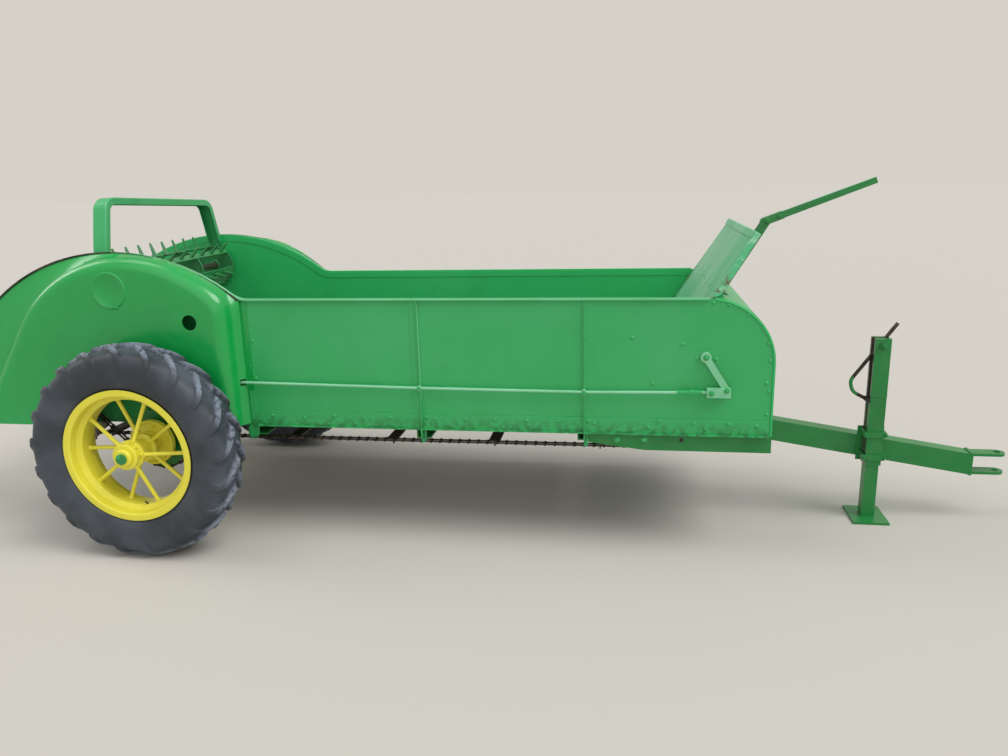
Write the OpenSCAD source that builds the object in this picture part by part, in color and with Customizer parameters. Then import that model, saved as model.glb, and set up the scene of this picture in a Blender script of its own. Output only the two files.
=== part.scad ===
// Two-wheel box manure spreader, driven from its own wheels and parked on its tongue jack.
// Millimetres. +X is forward, +Y is the machine's left, +Z is up and z = 0 is the ground.
// Modules draw in axle coordinates: x = 0 at the wheel axle. placed() then shifts
// them so that the origin is on the ground under the middle of the whole machine.

/* [Wheels] */
// Outside diameter of a tyre over its lugs
tyre_d = 906; // [860:1:950]
// Width of a tyre at its widest
tyre_w = 200; // [180:1:215]
// Height of the tread lugs
lug_h = 20; // [8:1:30]
// Lugs on each shoulder of a tyre
lugs = 21; // [14:1:24]
// Diameter of the bead seat of the rim
bead_d = 508; // [480:1:530]
// Distance between the centre planes of the tyres
track_w = 1460; // [1440:1:1600]
// Spokes of a wheel
spokes = 10; // [8:2:14]
// Diameter of a spoke
spoke_d = 17; // [10:1:24]
// Diameter of the wheel axle
axle_d = 44; // [34:1:56]

/* [Box] */
// Width of the box over its side sheets
box_w = 990; // [900:1:1000]
// Thickness of the side, front and shield sheets
sheet_t = 4; // [2:0.5:6]
// Height of the lower edge of the side sheets
sill_z = 498; // [490:1:510]
// Height of the straight top of the box
top_z = 1050; // [1000:1:1120]
// Forward end of the box, ahead of the axle
front_x = 2570; // [2500:1:2700]
// Rearward end of the side sheets, behind the axle
side_rear = 940; // [925:1:1000]
// Radius of the rounded top front corner
front_r = 260; // [180:1:300]
// Height of the crest of the rear hump
hump_z = 1250; // [1235:1:1300]
// Radius of the rear hump
hump_r = 885; // [830:1:950]
// Radius of the hollow where the hump runs into the straight top
hump_fillet = 110; // [60:1:160]
// Rearward place of the crest of the hump
hump_back = 165; // [140:1:210]
// Height of the rolled lip along the top edge
lip_h = 9; // [6:1:20]
// Depth of the rolled lip and of the ribs, outside the sheet
rib_t = 12; // [8:1:14]
// Height of the top of the floor boards
floor_z = 565; // [560:1:580]
// Thickness of the floor boards
board_t = 22; // [16:1:26]
// Number of floor boards
boards = 7; // [5:1:9]
// Lean of the sloped front panel from upright, in degrees
panel_lean = 32.4; // [28:0.1:36]
// Height of the top of the front guard
guard_z = 1288; // [1200:1:1340]
// Width of the front guard along its top edge
guard_w = 860; // [800:1:940]
// Width of the front guard where it meets the box
guard_base_w = 970; // [900:1:982]
// Depth of the folded edges of the front guard
guard_fold = 25; // [20:1:40]
// Height of the rear arch over the beaters
arch_z = 1455; // [1400:1:1500]
// Width of the pressed strap of the arch
arch_w = 64; // [50:1:80]

/* [Wheel shields] */
// Clearance between a shield's face and the tyre
shield_gap = 30; // [26:1:36]
// Radius of the flat face of a shield
shield_r = 617; // [600:1:630]
// Height of the lower edge of a shield
shield_z = 510; // [504:1:520]
// Forward edge of a shield
shield_front = 400; // [370:1:410]
// Rearward edge of a shield
shield_rear = 800; // [700:1:820]
// Radius of the shoulder between a shield's face and its edge
shoulder_r = 56; // [40:1:70]
// Radius of the wheel opening in a shield's face, about the axle
wheel_opening_r = 350; // [330:1:356]
// Radius of the inspection hole in a shield's face
inspection_r = 32; // [20:1:36]

/* [Rotors] */
// Sweep radius of the main beater's teeth
main_r = 195; // [180:1:196]
// Sweep radius of the upper beater's teeth
upper_r = 170; // [150:1:172]
// Sweep radius of the distributor's blades
spread_r = 205; // [180:1:225]
// Height of the main beater's teeth above its bars
main_tooth = 55; // [40:1:60]
// Height of the upper beater's teeth above its bars
upper_tooth = 65; // [40:1:75]
// Diameter of the rotor shafts
shaft_d = 32; // [26:1:38]
// Teeth along a beater bar
bar_teeth = 9; // [6:1:10]
// Pitch of the roller chain and its sprockets
chain_pitch = 41.4; // [38:0.1:42]

/* [Apron] */
// Pitch radius of the apron sprockets
apron_r = 78; // [74:1:80]
// Rearward place of the apron's drive shaft
apron_back = 420; // [400:1:430]
// Forward place of the apron's idler shaft
apron_front = 2040; // [2020:1:2050]
// Sideways place of each apron chain
apron_y = 400; // [380:1:405]
// Slats of the apron
slats = 12; // [9:1:16]
// Place of one slat on the lower run, ahead of the axle
slat_x = 1445; // [1400:1:1500]
// Height of a slat above the chain's middle
slat_h = 22; // [12:1:26]

/* [Tongue and jack] */
// Width of the tongue
tongue_w = 76; // [60:1:90]
// Depth of the tongue
tongue_h = 94; // [80:1:110]
// Forward end of the tongue
tongue_front = 3490; // [3400:1:3700]
// Downward slope of the tongue, in degrees
tongue_slope = 9.3; // [8:0.1:10]
// Radius of the hitch pin hole
hitch_hole_r = 14; // [9:0.5:20]
// Reach of the hitch ears ahead of the tongue
hitch_reach = 150; // [120:1:200]
// Forward place of the jack
jack_x = 3068; // [2900:1:3200]
// Width of the jack's outer tube
jack_w = 66; // [56:1:76]
// Height of the top of the jack's outer tube
jack_top = 815; // [780:1:900]
// Travel of the jack's leg
jack_travel = 205; // [150:1:210]

/* [Hidden] */

$fn = 48;
paint = "#2f9653";
paint_dark = "#1f7a40";
yellow = "#e9df33";
rubber = "#2b2e33";
wood = "#8d6f4a";
steel = "#4c4a45";
small = 0.1;
run_gap = 0.05;
seat_gap = 0.3;

tyre_r = tyre_d / 2;
axle_r = axle_d / 2;
axle_z = tyre_r;
bead_r = bead_d / 2;
track_y = track_w / 2;
side_y = box_w / 2;
inner_y = side_y - sheet_t;
shaft_r = shaft_d / 2;
shield_out = track_y - tyre_w / 2 - shield_gap - side_y;
hub_in = track_y - 88;
hub_out = track_y + 95;
hub_r = axle_r + 20;
ratchet_in = hub_in - 34;
drum_r = 98;

// Hitch ears and the whole machine's length
ear_t = 12;
ear_r = 32;
hitch_x = tongue_front + hitch_reach - ear_r;
spread_x = -(side_rear - 60);
rear_reach = spread_x - spread_r;
front_reach = hitch_x + ear_r;
mid_x = (rear_reach + front_reach) / 2;

// Rotor centres
main_z = floor_z + slat_h + main_r + 18;
rotor_gap = 8;
upper_x = -215;
upper_z = hump_z - 160;
main_x = upper_x - sqrt(pow(main_r + upper_r + rotor_gap, 2) - pow(upper_z - main_z, 2));
spread_z = main_z - 80;

// Front panel: a straight line from the floor to the guard's top
panel_foot_x = 2017;
panel_foot_z = floor_z + slat_h + 13;
function panel_x(z) = panel_foot_x + (z - floor_z) * tan(panel_lean);

// Arch: bend radius, lean of its legs, drop of its left-hand corner below the right-hand one
arch_x = -207;
arch_bend_r = 75;
arch_lean = 19;
arch_drop = 33;
arch_corner_y = inner_y - 129;
arch_corner = [arch_z + arch_drop / 2 - arch_bend_r, arch_z - arch_drop / 2 - arch_bend_r];
arch_tilt = atan(arch_drop / (2 * arch_corner_y));

// Apron loop
apron_half = 6;
slat_w = 50;
slat_t = 6;
feed_ratchet_r = 104;
feed_ratchet_t = 10;
apron_z = floor_z + apron_half - apron_r;
chain_w = 30;
apron_run = apron_front + apron_back;
apron_len = 2 * apron_run + 2 * PI * apron_r;

// Lower frame
ledge_t = 6;
ledge_w = 40;
ledge_z = floor_z - board_t;
sill_x = [430, 1162, 1836];
sill_w = 60;
rib_leg_t = 4;
rib_top = top_z - lip_h + small;
rear_bracket_t = 7;
// place of a rib's outstanding leg, reach of its flat leg, reach of its bracket
rib_rows = [[sill_x[1] - 4, -30, 26], [sill_x[2] - 2, 32, 16]];
rear_bracket = [[402, 655], [426, 655], [428, 560], [430, 470], [424, 448], [408, 438], [390, 442],
    [379, 462], [386, 500], [402, 512]];
sill_low = 455;
channel_rear = 1833;
channel_taper = [[1833, 462], [1937, 447], [2080, 430]];
channel_low = 430;
channel_t = 6;
channel_w = 32;
channel_in = side_y - channel_w;
cross_x = [2220, 2547];
cross_w = 36;
tongue_rear = cross_x[0] + cross_w / 2;
tongue_top_z = 443;
function tongue_top(x) = tongue_top_z + (front_x - x) * tan(tongue_slope);
tongue_drop = tongue_h / cos(tongue_slope);

// Jack
jack_wall = 5;
jack_play = 0.5;
clamp_t = 6;
jack_y = -(tongue_w / 2 + clamp_t + jack_w / 2);
jack_low = tongue_top(jack_x + jack_w / 2) - tongue_drop - 8;
foot_t = 10;
foot_w = 150;
leg_w = jack_w - 2 * jack_wall - 2 * jack_play;
leg_top = jack_top - jack_travel - 84;
foot_depth = 190;
crank_r = 8;
jack_pin = [jack_x, jack_top - 30];
crank_line = [[jack_x + 60, jack_top + 63], [jack_x - 113, jack_top - 190], [jack_x - 100, jack_top - 238],
    [jack_x - jack_w / 2 - 4, jack_top - 272]];

// Controls
pivot_x = front_x - 263;
pivot_z = top_z - 231;
lever_y = -300;
lever_lead = 44;
grip_run = 385;
grip_rise = 142;
arm_run = 80;
rod_z = 681;
rod_rear_z = 697;
crank_x = 230;
crank_drop = 90;
rod_r = 6;
rod_y = side_y + rib_t + rod_r + 4;

// Roller chain drives, on planes outside the side sheets
axle_teeth = 20;
main_teeth = 8;
upper_drive_teeth = 10;
upper_teeth = 8;
spread_drive_teeth = 10;
spread_teeth = 7;
sprocket_w = 12;
drive_plane = (side_y + ratchet_in) / 2;
upper_plane = side_y + 58;
spread_plane = side_y + 25;
chain_gap = 0.5;
chain_t = 14;
function pitch_r(teeth) = chain_pitch / (2 * sin(180 / teeth));
function tip_r(teeth) = pitch_r(teeth) + 6;

module placed() {
    translate([-mid_x, 0, 0]) children();
}

// s = 1 draws a left-hand piece as it is, s = -1 mirrors it to the right
module on_side(s) {
    mirror([0, s < 0 ? 1 : 0, 0]) children();
}

module both_sides() {
    children();
    mirror([0, 1, 0]) children();
}

// Extrudes a drawing in the x-z plane from y0 to y1
module slab(y0, y1) {
    translate([0, y1, 0]) rotate([90, 0, 0]) linear_extrude(y1 - y0) children();
}

// A round bar across the machine
module cross_rod(x, z, r, y0, y1, fn = 48) {
    translate([x, y1, z]) rotate([90, 0, 0]) cylinder(r = r, h = y1 - y0, $fn = fn);
}

module block(x0, x1, y0, y1, z0, z1) {
    translate([x0, y0, z0]) cube([x1 - x0, y1 - y0, z1 - z0]);
}

// A round bar between two points
module rod_between(a, b, r, fn = 24) {
    d = b - a;
    len = norm(d);
    translate(a) rotate([0, acos(d[2] / len), atan2(d[1], d[0])]) cylinder(r = r, h = len, $fn = fn);
}

// Centre of the hollow at the hump's foot, and a point of the sheet on the line between the two centres
hump_at = [-hump_back, hump_z - hump_r];
fillet_rise = top_z + hump_fillet - hump_at[1];
fillet_at = hump_at + [sqrt(pow(hump_r + hump_fillet, 2) - pow(fillet_rise, 2)), fillet_rise];
foot_at = hump_at + (hump_r - 60) * (fillet_at - hump_at) / norm(fillet_at - hump_at);

// Outline of a side sheet, drawn d inside its edge
module side_outline(d, front_gap = 0) {
    fx = front_x - d - front_gap;
    fr = front_r - d - front_gap;
    fc = [front_x - front_r, top_z - front_r];
    difference() {
        union() {
            translate([-side_rear + d, sill_z]) square([fc[0] + side_rear - d, top_z - d - sill_z]);
            translate([fc[0] - small, sill_z]) square([fx - fc[0] + small, fc[1] - sill_z]);
            intersection() {
                translate(fc) circle(r = fr, $fn = 96);
                translate(fc) square(front_r + 1);
            }
            intersection() {
                translate(hump_at) circle(r = hump_r - d, $fn = 160);
                translate([-side_rear + d, sill_z]) square([side_rear + 700, hump_z]);
            }
            difference() {
                polygon([fillet_at, [fillet_at[0], top_z - 60], [foot_at[0], top_z - 60], foot_at]);
                translate(fillet_at) circle(r = hump_fillet + d, $fn = 96);
            }
        }
        // what lies above the hump's rear slope
        difference() {
            translate([-side_rear - 1, sill_z]) square([side_rear - hump_back + 1, hump_z]);
            translate(hump_at) circle(r = hump_r - d, $fn = 160);
            translate([-side_rear - 2, sill_z - 1]) square([side_rear, hump_z - hump_r + 1 - sill_z + 300]);
        }
        // raised lower rear corner
        translate([0, -1]) polygon([[-side_rear - 1, sill_z - 1], [-side_rear * 0.62, sill_z - 1],
            [-side_rear - 1, sill_z + 130]]);
    }
}

// Points of an arc about c from angle a0 to a1
function arc_points(c, r, a0, a1, steps) =
    [for (i = [0 : steps]) let (a = a0 + (a1 - a0) * i / steps) [c[0] + r * cos(a), c[1] + r * sin(a)]];

// Holes for the rotor shafts
module shaft_holes() {
    for (c = [[main_x, main_z], [upper_x, upper_z], [spread_x, spread_z], [-apron_back, apron_z]])
        cross_rod(c[0], c[1], shaft_r + 6, inner_y - 1, side_y + 1);
}

module side() {
    color(paint) {
        difference() {
            slab(inner_y, side_y) side_outline(0, sheet_t + seat_gap);
            shaft_holes();
            cross_rod(pivot_x, pivot_z, 14, inner_y - 1, side_y + 1);
        }
        // rolled lip along the whole top edge
        slab(side_y, side_y + rib_t) difference() {
            side_outline(0, sheet_t + seat_gap);
            side_outline(lip_h, sheet_t + seat_gap);
            translate([-side_rear - 1, 0]) square([front_x + side_rear + 2, top_z - front_r]);
            translate([front_x - front_r, 0]) square([front_r + 1, top_z + 1]);
        }
        // ledge under the floor boards
        block(-apron_back + 30, apron_front, inner_y - ledge_w, inner_y + small, ledge_z - ledge_t, ledge_z);
        // band and flange along the lower edge
        block(shield_front + 20, front_x - 12, side_y - small, side_y + 3, sill_z + 5, floor_z);
        block(shield_front + 20, front_x - 12, side_y - small, side_y + 16, sill_z, sill_z + 5);
        // angle ribs, one leg flat on the sheet, with the brackets that reach down over the sills
        for (row = rib_rows) {
            block(row[0], row[0] + rib_leg_t, side_y - small, side_y + rib_t, floor_z, rib_top);
            block(row[0] + min(row[1], 0), row[0] + max(row[1], rib_leg_t), side_y - small, side_y + 3,
                floor_z - small, rib_top);
            sill_bracket(row[0], row[2]);
        }
        // flat leaning bracket ahead of the shield
        slab(side_y + seat_gap, side_y + rear_bracket_t) polygon(rear_bracket);
        slab(side_y - small, side_y + rear_bracket_t) intersection() {
            polygon(rear_bracket);
            translate([shield_front, sill_z + 2]) square([60, 200]);
        }
    }
}

// Plate edge-on to the side sheet, which grows outward to reach below the sills
module sill_bracket(x, reach) {
    low = sill_low - 12;
    translate([x, 0, 0]) rotate([90, 0, 90]) linear_extrude(rib_leg_t) polygon([
        [side_y - small, floor_z + 60], [side_y + rib_t, floor_z + 54], [side_y + reach, sill_z - 8],
        [side_y + reach, low + 22], [side_y + reach - 8, low], [side_y + seat_gap, low],
        [side_y + seat_gap, sill_z + 2], [side_y - small, sill_z + 2]]);
    // its foot, flat against the sill's end
    slab(side_y + seat_gap, side_y + 4) polygon([[x, low + 8], [x + 5, low], [x + 13, low],
        [x + 18, low + 8], [x + 18, sill_z + 2], [x, sill_z + 2]]);
    slab(side_y - small, side_y + 4) polygon([[x, sill_z + 1], [x + 18, sill_z + 1], [x + 18, floor_z + 40],
        [x, floor_z + 60]]);
}

module floor_boards() {
    board_w = 2 * inner_y / boards;
    color(wood) difference() {
        block(-apron_back + 84, apron_front - 80, -inner_y, inner_y, ledge_z, floor_z);
        for (i = [1 : boards - 1])
            block(-apron_back, apron_front, -inner_y + i * board_w - 1.5, -inner_y + i * board_w + 1.5,
                floor_z - 4, floor_z + 1);
    }
}

// Curved sheet over the rounded top and down the front
module front_skin() {
    centre = [front_x - front_r, top_z - front_r];
    rear_edge = acos((panel_x(top_z) + 7 - centre[0]) / front_r);
    slot_x = panel_x(top_z) + 10;
    color(paint) difference() {
        slab(-side_y, side_y) polygon(concat(
            arc_points(centre, front_r, 0, rear_edge, 24),
            arc_points(centre, front_r - sheet_t, rear_edge, 0, 24),
            [[front_x - sheet_t, sill_z], [front_x, sill_z]]));
        // slot for the control lever
        block(slot_x, slot_x + 65, lever_y - 34, lever_y + 34, top_z - 60, top_z + 1);
    }
}

// Sloped front endgate and the guard that carries it on above the box in the same plane
module front_panel() {
    t = sheet_t / cos(panel_lean);
    neck_z = top_z + 6;
    fold = guard_fold * [cos(panel_lean), -sin(panel_lean)];
    fold_low = neck_z + 44;
    cap = 26;
    color(paint) {
        slab(-inner_y, inner_y) polygon([[panel_x(panel_foot_z), panel_foot_z],
            [panel_x(neck_z), neck_z], [panel_x(neck_z) + t, neck_z],
            [panel_x(panel_foot_z) + t, panel_foot_z]]);
        intersection() {
            slab(-inner_y, inner_y) polygon([[panel_x(neck_z - 1), neck_z - 1],
                [panel_x(guard_z), guard_z], [panel_x(guard_z) + t, guard_z],
                [panel_x(neck_z - 1) + t, neck_z - 1]]);
            guard_front(0);
        }
        // folded side edges
        intersection() {
            slab(-inner_y, inner_y) polygon([[panel_x(fold_low), fold_low], [panel_x(guard_z), guard_z],
                [panel_x(guard_z), guard_z] + fold, [panel_x(fold_low), fold_low] + fold]);
            difference() {
                guard_front(0);
                guard_front(sheet_t);
            }
        }
        // cap strip
        slab(-guard_w / 2, guard_w / 2) polygon([[panel_x(guard_z - cap) - 4, guard_z - cap],
            [panel_x(guard_z) - 4, guard_z], [panel_x(guard_z) + 14, guard_z],
            [panel_x(guard_z) + 12, guard_z - 5], [panel_x(guard_z - 5), guard_z - 5],
            [panel_x(guard_z - cap), guard_z - cap]]);
    }
}

// Front view of the guard, w inside its leaning edges, as a block right through the machine
module guard_front(w) {
    base = guard_base_w / 2 - w;
    top = guard_w / 2 - w;
    translate([panel_foot_x, 0, 0]) rotate([90, 0, 90]) linear_extrude(front_x - panel_foot_x)
        polygon([[-base, top_z - 10], [base, top_z - 10], [base, top_z + 6], [top, guard_z],
            [top, guard_z + 20], [-top, guard_z + 20], [-top, guard_z], [-base, top_z + 6]]);
}

module cross_sills() {
    wall = 6;
    end_z = ledge_z - ledge_t;
    color(paint_dark) for (x = sill_x) let (x0 = x - sill_w / 2, x1 = x + sill_w / 2,
            half = x1 > channel_rear ? channel_in : inner_y) difference() {
        union() {
            block(x0, x1, -half, half, sill_low, end_z);
            block(x0, x1, -inner_y + ledge_w, inner_y - ledge_w, sill_low, ledge_z);
        }
        block(x0 + wall, x1 + 1, -inner_y - 1, inner_y + 1, sill_low + wall, end_z - wall);
    }
}

// Side view of a channel that tapers at its rear end, w inside its flanges
module channel_side(w) {
    x0 = channel_rear - w;
    x1 = front_x + w;
    polygon([[x0, sill_z - w], [x0, channel_taper[0][1] + w], [channel_taper[1][0], channel_taper[1][1] + w],
        [channel_taper[2][0], channel_taper[2][1] + w], [x1, channel_low + w], [x1, sill_z - w]]);
}

// Channels under the front of the box and the two members between them
module front_frame() {
    color(paint) difference() {
        union() {
            both_sides() difference() {
                slab(channel_in, side_y) channel_side(0);
                slab(channel_in - 1, side_y - channel_t) channel_side(channel_t);
            }
            for (x = cross_x)
                block(x - cross_w / 2, x + cross_w / 2, -channel_in, channel_in, channel_low, sill_z);
        }
        slab(-tongue_w / 2, tongue_w / 2) tongue_side(tongue_rear, tongue_front);
    }
}

// Side view of the tongue between two places, wall inside its outer faces
module tongue_side(x0, x1, wall = 0) {
    polygon([[x0, tongue_top(x0) - wall], [x1, tongue_top(x1) - wall],
        [x1, tongue_top(x1) - tongue_drop + wall], [x0, tongue_top(x0) - tongue_drop + wall]]);
}

module tongue() {
    wall = 5;
    half = tongue_w / 2;
    color(paint) difference() {
        slab(-half, half) tongue_side(tongue_rear, tongue_front);
        slab(-half + wall, half - wall) tongue_side(tongue_rear - 1, tongue_front + 1, wall);
    }
}

// End plate and two ears with the hole for the hitch pin
module hitch_clevis() {
    z1 = tongue_top(tongue_front);
    z0 = z1 - tongue_drop;
    color(paint) difference() {
        union() {
            block(tongue_front, tongue_front + ear_t, -tongue_w / 2, tongue_w / 2, z0 - 4, z1 + 4);
            for (z = [z0, z1 - ear_t]) {
                block(tongue_front, hitch_x, -ear_r, ear_r, z, z + ear_t);
                translate([hitch_x, 0, z]) cylinder(r = ear_r, h = ear_t);
            }
        }
        translate([hitch_x, 0, z0 - 10]) cylinder(r = hitch_hole_r, h = tongue_drop + 20);
    }
}

// Hoop over the beaters, bolted inside the humps, its legs leaning inward above the sheets
module rear_arch() {
    strap = 8;
    foot = 130;
    lip = 4;
    color(paint) translate([arch_x - arch_w / 2, 0, 0]) {
        rotate([90, 0, 90]) linear_extrude(arch_w) difference() {
            hoop(0, hump_z - foot);
            hoop(strap, hump_z - foot - 1);
        }
        // edge flanges of the strap
        for (x = [0, arch_w - lip])
            translate([x, 0, 0]) rotate([90, 0, 90]) linear_extrude(lip) difference() {
                hoop(strap - small, hump_z - 44);
                hoop(strap + 12, hump_z - 45);
            }
    }
}

// Filled front view of the arch, w inside its outer face, down to low; the right-hand corner is the higher
module hoop(w, low) {
    r = arch_bend_r - w;
    polygon(concat(
        [[-inner_y + w, low], [-inner_y + w, hoop_bend(w, arch_corner[0])]],
        arc_points([-arch_corner_y, arch_corner[0]], r, 180 - arch_lean, 90 - arch_tilt, 8),
        arc_points([arch_corner_y, arch_corner[1]], r, 90 - arch_tilt, arch_lean, 8),
        [[inner_y - w, hoop_bend(w, arch_corner[1])], [inner_y - w, low]]));
}

// Height at which a leg of the arch starts to lean, w inside its outer face, z is its corner's centre
function hoop_bend(w, z) = z + (arch_bend_r - w) * sin(arch_lean)
    - (inner_y - w - arch_corner_y - (arch_bend_r - w) * cos(arch_lean)) / tan(arch_lean);

// Outline points of a shield: the wider edge at the side's rolled lip, the smaller face outside
shield_seat = side_y + rib_t + seat_gap;
shield_face = [-70, shield_z + 109];
shield_slope = 58;
shield_corner_r = 130;
inspection_at = [221, 966];
// edge outline, w inside
function lip_points(w) = let (r = hump_r - w, x1 = shield_front - w, x0 = -side_rear)
    concat([[x0, shield_z - 1], [x1, shield_z - 1]],
        arc_points(hump_at, r, acos((x1 - hump_at[0]) / r), acos((x0 - hump_at[0]) / r), 18));
// face outline, w inside
function face_points(w) = let (r = shield_r - w, q = shield_corner_r - w, x1 = shield_front - 25 - w,
        a1 = 90 + shield_slope, e = [shield_face[0] + r * cos(a1), shield_face[1] + r * sin(a1)],
        drop = e[1] - shield_z + 1, reach = x1 - q - shield_face[0],
        rise = sqrt(pow(r - q, 2) - pow(reach, 2)), turn = atan2(rise, reach))
    concat([[e[0] - drop / tan(shield_slope), shield_z - 1], [x1, shield_z - 1]],
        arc_points(shield_face + [reach, rise], q, 0, turn, 4),
        arc_points(shield_face, r, turn + 4, a1, 14));

// Domed body of a shield, w inside its outer surface
module shield_form(w) {
    hull() {
        slab(shield_seat - w, shield_seat + small) polygon(lip_points(w));
        // steps of the rounded shoulder, in degrees
        for (a = [0, 30, 60, 90]) let (y = side_y + shield_out - shoulder_r * (1 - sin(a)) - w)
            slab(y - small, y) polygon(face_points(shoulder_r * (1 - cos(a)) + w));
    }
}

module shield() {
    far = side_y + shield_out + 1;
    color(paint) {
        difference() {
            shield_form(0);
            shield_form(sheet_t);
            block(-side_rear - 300, front_x, shield_seat - sheet_t - 1, shield_seat, 0, hump_z + 200);
            block(-side_rear - 300, front_x, 0, far, shield_z - 60, shield_z);
            block(-side_rear - 300, -shield_rear, 0, far, 0, hump_z + 200);
            // opening for the feed rod
            block(shield_front - 60, shield_front + 10, 0, rod_y + 16, rod_rear_z - 16, rod_rear_z + 12);
            // round inspection hole, and the wheel opening
            cross_rod(inspection_at[0], inspection_at[1], inspection_r, shield_seat + 30, far);
            cross_rod(0, axle_z, wheel_opening_r, shield_seat + 20, far, 96);
        }
        // front flange against the side sheet
        difference() {
            block(shield_front - 8, shield_front, side_y, shield_seat + small, shield_z, top_z - lip_h - 4);
            block(shield_front - 9, shield_front + 1, 0, far, rod_rear_z - 16, rod_rear_z + 12);
        }
    }
}

// Hangers under the ledges that carry the axle and the apron shafts
// columns of a hanger: x, z, shaft radius, outer face, half length of its plate
module shaft_hangers() {
    depth = 46;
    color(paint_dark) both_sides()
        for (h = [[0, axle_z, axle_r, inner_y, 75], [-apron_back, apron_z, shaft_r, inner_y, 45],
                [apron_front, apron_z, shaft_r, side_y - channel_w, 45]])
            difference() {
                union() {
                    block(h[0] - h[4], h[0] + h[4], h[3] - 12, h[3], h[1], ledge_z - ledge_t);
                    cross_rod(h[0], h[1], h[2] + 22, h[3] - depth, h[3]);
                    block(h[0] - h[2] - 10, h[0] + h[2] + 10, h[3] - depth, h[3], h[1], ledge_z - ledge_t);
                }
                cross_rod(h[0], h[1], h[2] + run_gap, h[3] - depth - 1, h[3] + 1);
            }
}

// Flanged bearings of the three rotors, outside the side sheets
module rotor_bearings() {
    flange = 46;
    color(paint_dark) both_sides()
        for (c = [[main_x, main_z], [upper_x, upper_z], [spread_x, spread_z]])
            difference() {
                union() {
                    block(c[0] - flange, c[0] + flange, side_y, side_y + 8, c[1] - flange, c[1] + flange);
                    cross_rod(c[0], c[1], shaft_r + 14, side_y, side_y + 14);
                }
                cross_rod(c[0], c[1], shaft_r + run_gap, side_y - 1, side_y + 15);
            }
}

// Place on the apron loop at length s: x, z and outward direction
function apron_at(s) =
    let (arc = PI * apron_r, turn = 180 / arc)
    s < apron_run ? [apron_front - s, apron_z - apron_r, -90]
    : s < apron_run + arc ? let (a = -90 - (s - apron_run) * turn)
        [-apron_back + apron_r * cos(a), apron_z + apron_r * sin(a), a]
    : s < 2 * apron_run + arc ? [-apron_back + (s - apron_run - arc), apron_z + apron_r, 90]
    : let (a = 90 - (s - 2 * apron_run - arc) * turn)
        [apron_front + apron_r * cos(a), apron_z + apron_r * sin(a), a];

// Filled loop of the apron chain at distance r from the shafts
module apron_loop(r) {
    translate([-apron_back, apron_z]) circle(r = r);
    translate([apron_front, apron_z]) circle(r = r);
    translate([-apron_back, apron_z - r]) square([apron_run, 2 * r]);
}

module apron_chain() {
    color(steel) {
        for (y = [-apron_y, apron_y])
            slab(y - chain_w / 2, y + chain_w / 2) difference() {
                apron_loop(apron_r + apron_half);
                apron_loop(apron_r - apron_half);
            }
        for (i = [0 : slats - 1]) {
            p = apron_at((apron_front - slat_x + i * apron_len / slats) % apron_len);
            translate([p[0], 0, p[1]]) rotate([0, -p[2], 0]) slat();
        }
    }
}

// Slat of T section, its web along +X
module slat() {
    reach = apron_y - chain_w / 2 + 4;
    block(1 - apron_half, 1, -reach, reach, -slat_w / 2, slat_w / 2);
    block(0, slat_h, -reach, reach, -slat_t / 2, slat_t / 2);
}

module apron_shafts() {
    color(steel) {
        // columns: place of the shaft, half its length
        for (row = [[-apron_back, inner_y - 4], [apron_front, channel_in - 1]]) let (x = row[0]) {
            cross_rod(x, apron_z, shaft_r, -row[1], row[1]);
            for (y = [-apron_y, apron_y])
                cross_rod(x, apron_z, apron_r - apron_half - seat_gap, y - 9, y + 9);
        }
        // feed ratchet on the right-hand end of the drive shaft
        cross_rod(-apron_back, apron_z, shaft_r, -(side_y + 38), -inner_y + 5);
        translate([-apron_back, -(side_y + 18), apron_z]) rotate([90, 0, 0])
            linear_extrude(feed_ratchet_t) toothed(feed_ratchet_r - 8, feed_ratchet_r, 30);
    }
}

// Disc with square-cut teeth between two radii
module toothed(root, tip, teeth) {
    polygon([for (i = [0 : teeth - 1]) for (k = [[0, root], [0.22, tip], [0.55, tip], [0.78, root]])
        let (a = (i + k[0]) * 360 / teeth) [k[1] * cos(a), k[1] * sin(a)]]);
}

// Sprocket with a true bore, its middle at y
module sprocket(x, y, z, teeth, bore, turn = 0) {
    difference() {
        translate([x, y + sprocket_w / 2, z]) rotate([90, turn, 0]) linear_extrude(sprocket_w)
            toothed(pitch_r(teeth) - 7, tip_r(teeth), teeth);
        cross_rod(x, z, bore, y - sprocket_w, y + sprocket_w);
    }
}

// Closed chain around two sprockets, at y
module chain_loop(a, ra, b, rb, y) {
    gap = chain_gap;
    slab(y - 8, y + 8) difference() {
        hull() {
            translate(a) circle(r = ra + gap + chain_t);
            translate(b) circle(r = rb + gap + chain_t);
        }
        hull() {
            translate(a) circle(r = ra + gap);
            translate(b) circle(r = rb + gap);
        }
    }
}

module drive_chains() {
    color(steel) {
        chain_loop([0, axle_z], tip_r(axle_teeth), [main_x, main_z], tip_r(main_teeth), -drive_plane);
        chain_loop([main_x, main_z], tip_r(upper_drive_teeth), [upper_x, upper_z], tip_r(upper_teeth),
            upper_plane);
        chain_loop([main_x, main_z], tip_r(spread_drive_teeth), [spread_x, spread_z],
            tip_r(spread_teeth), spread_plane);
    }
}

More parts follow.
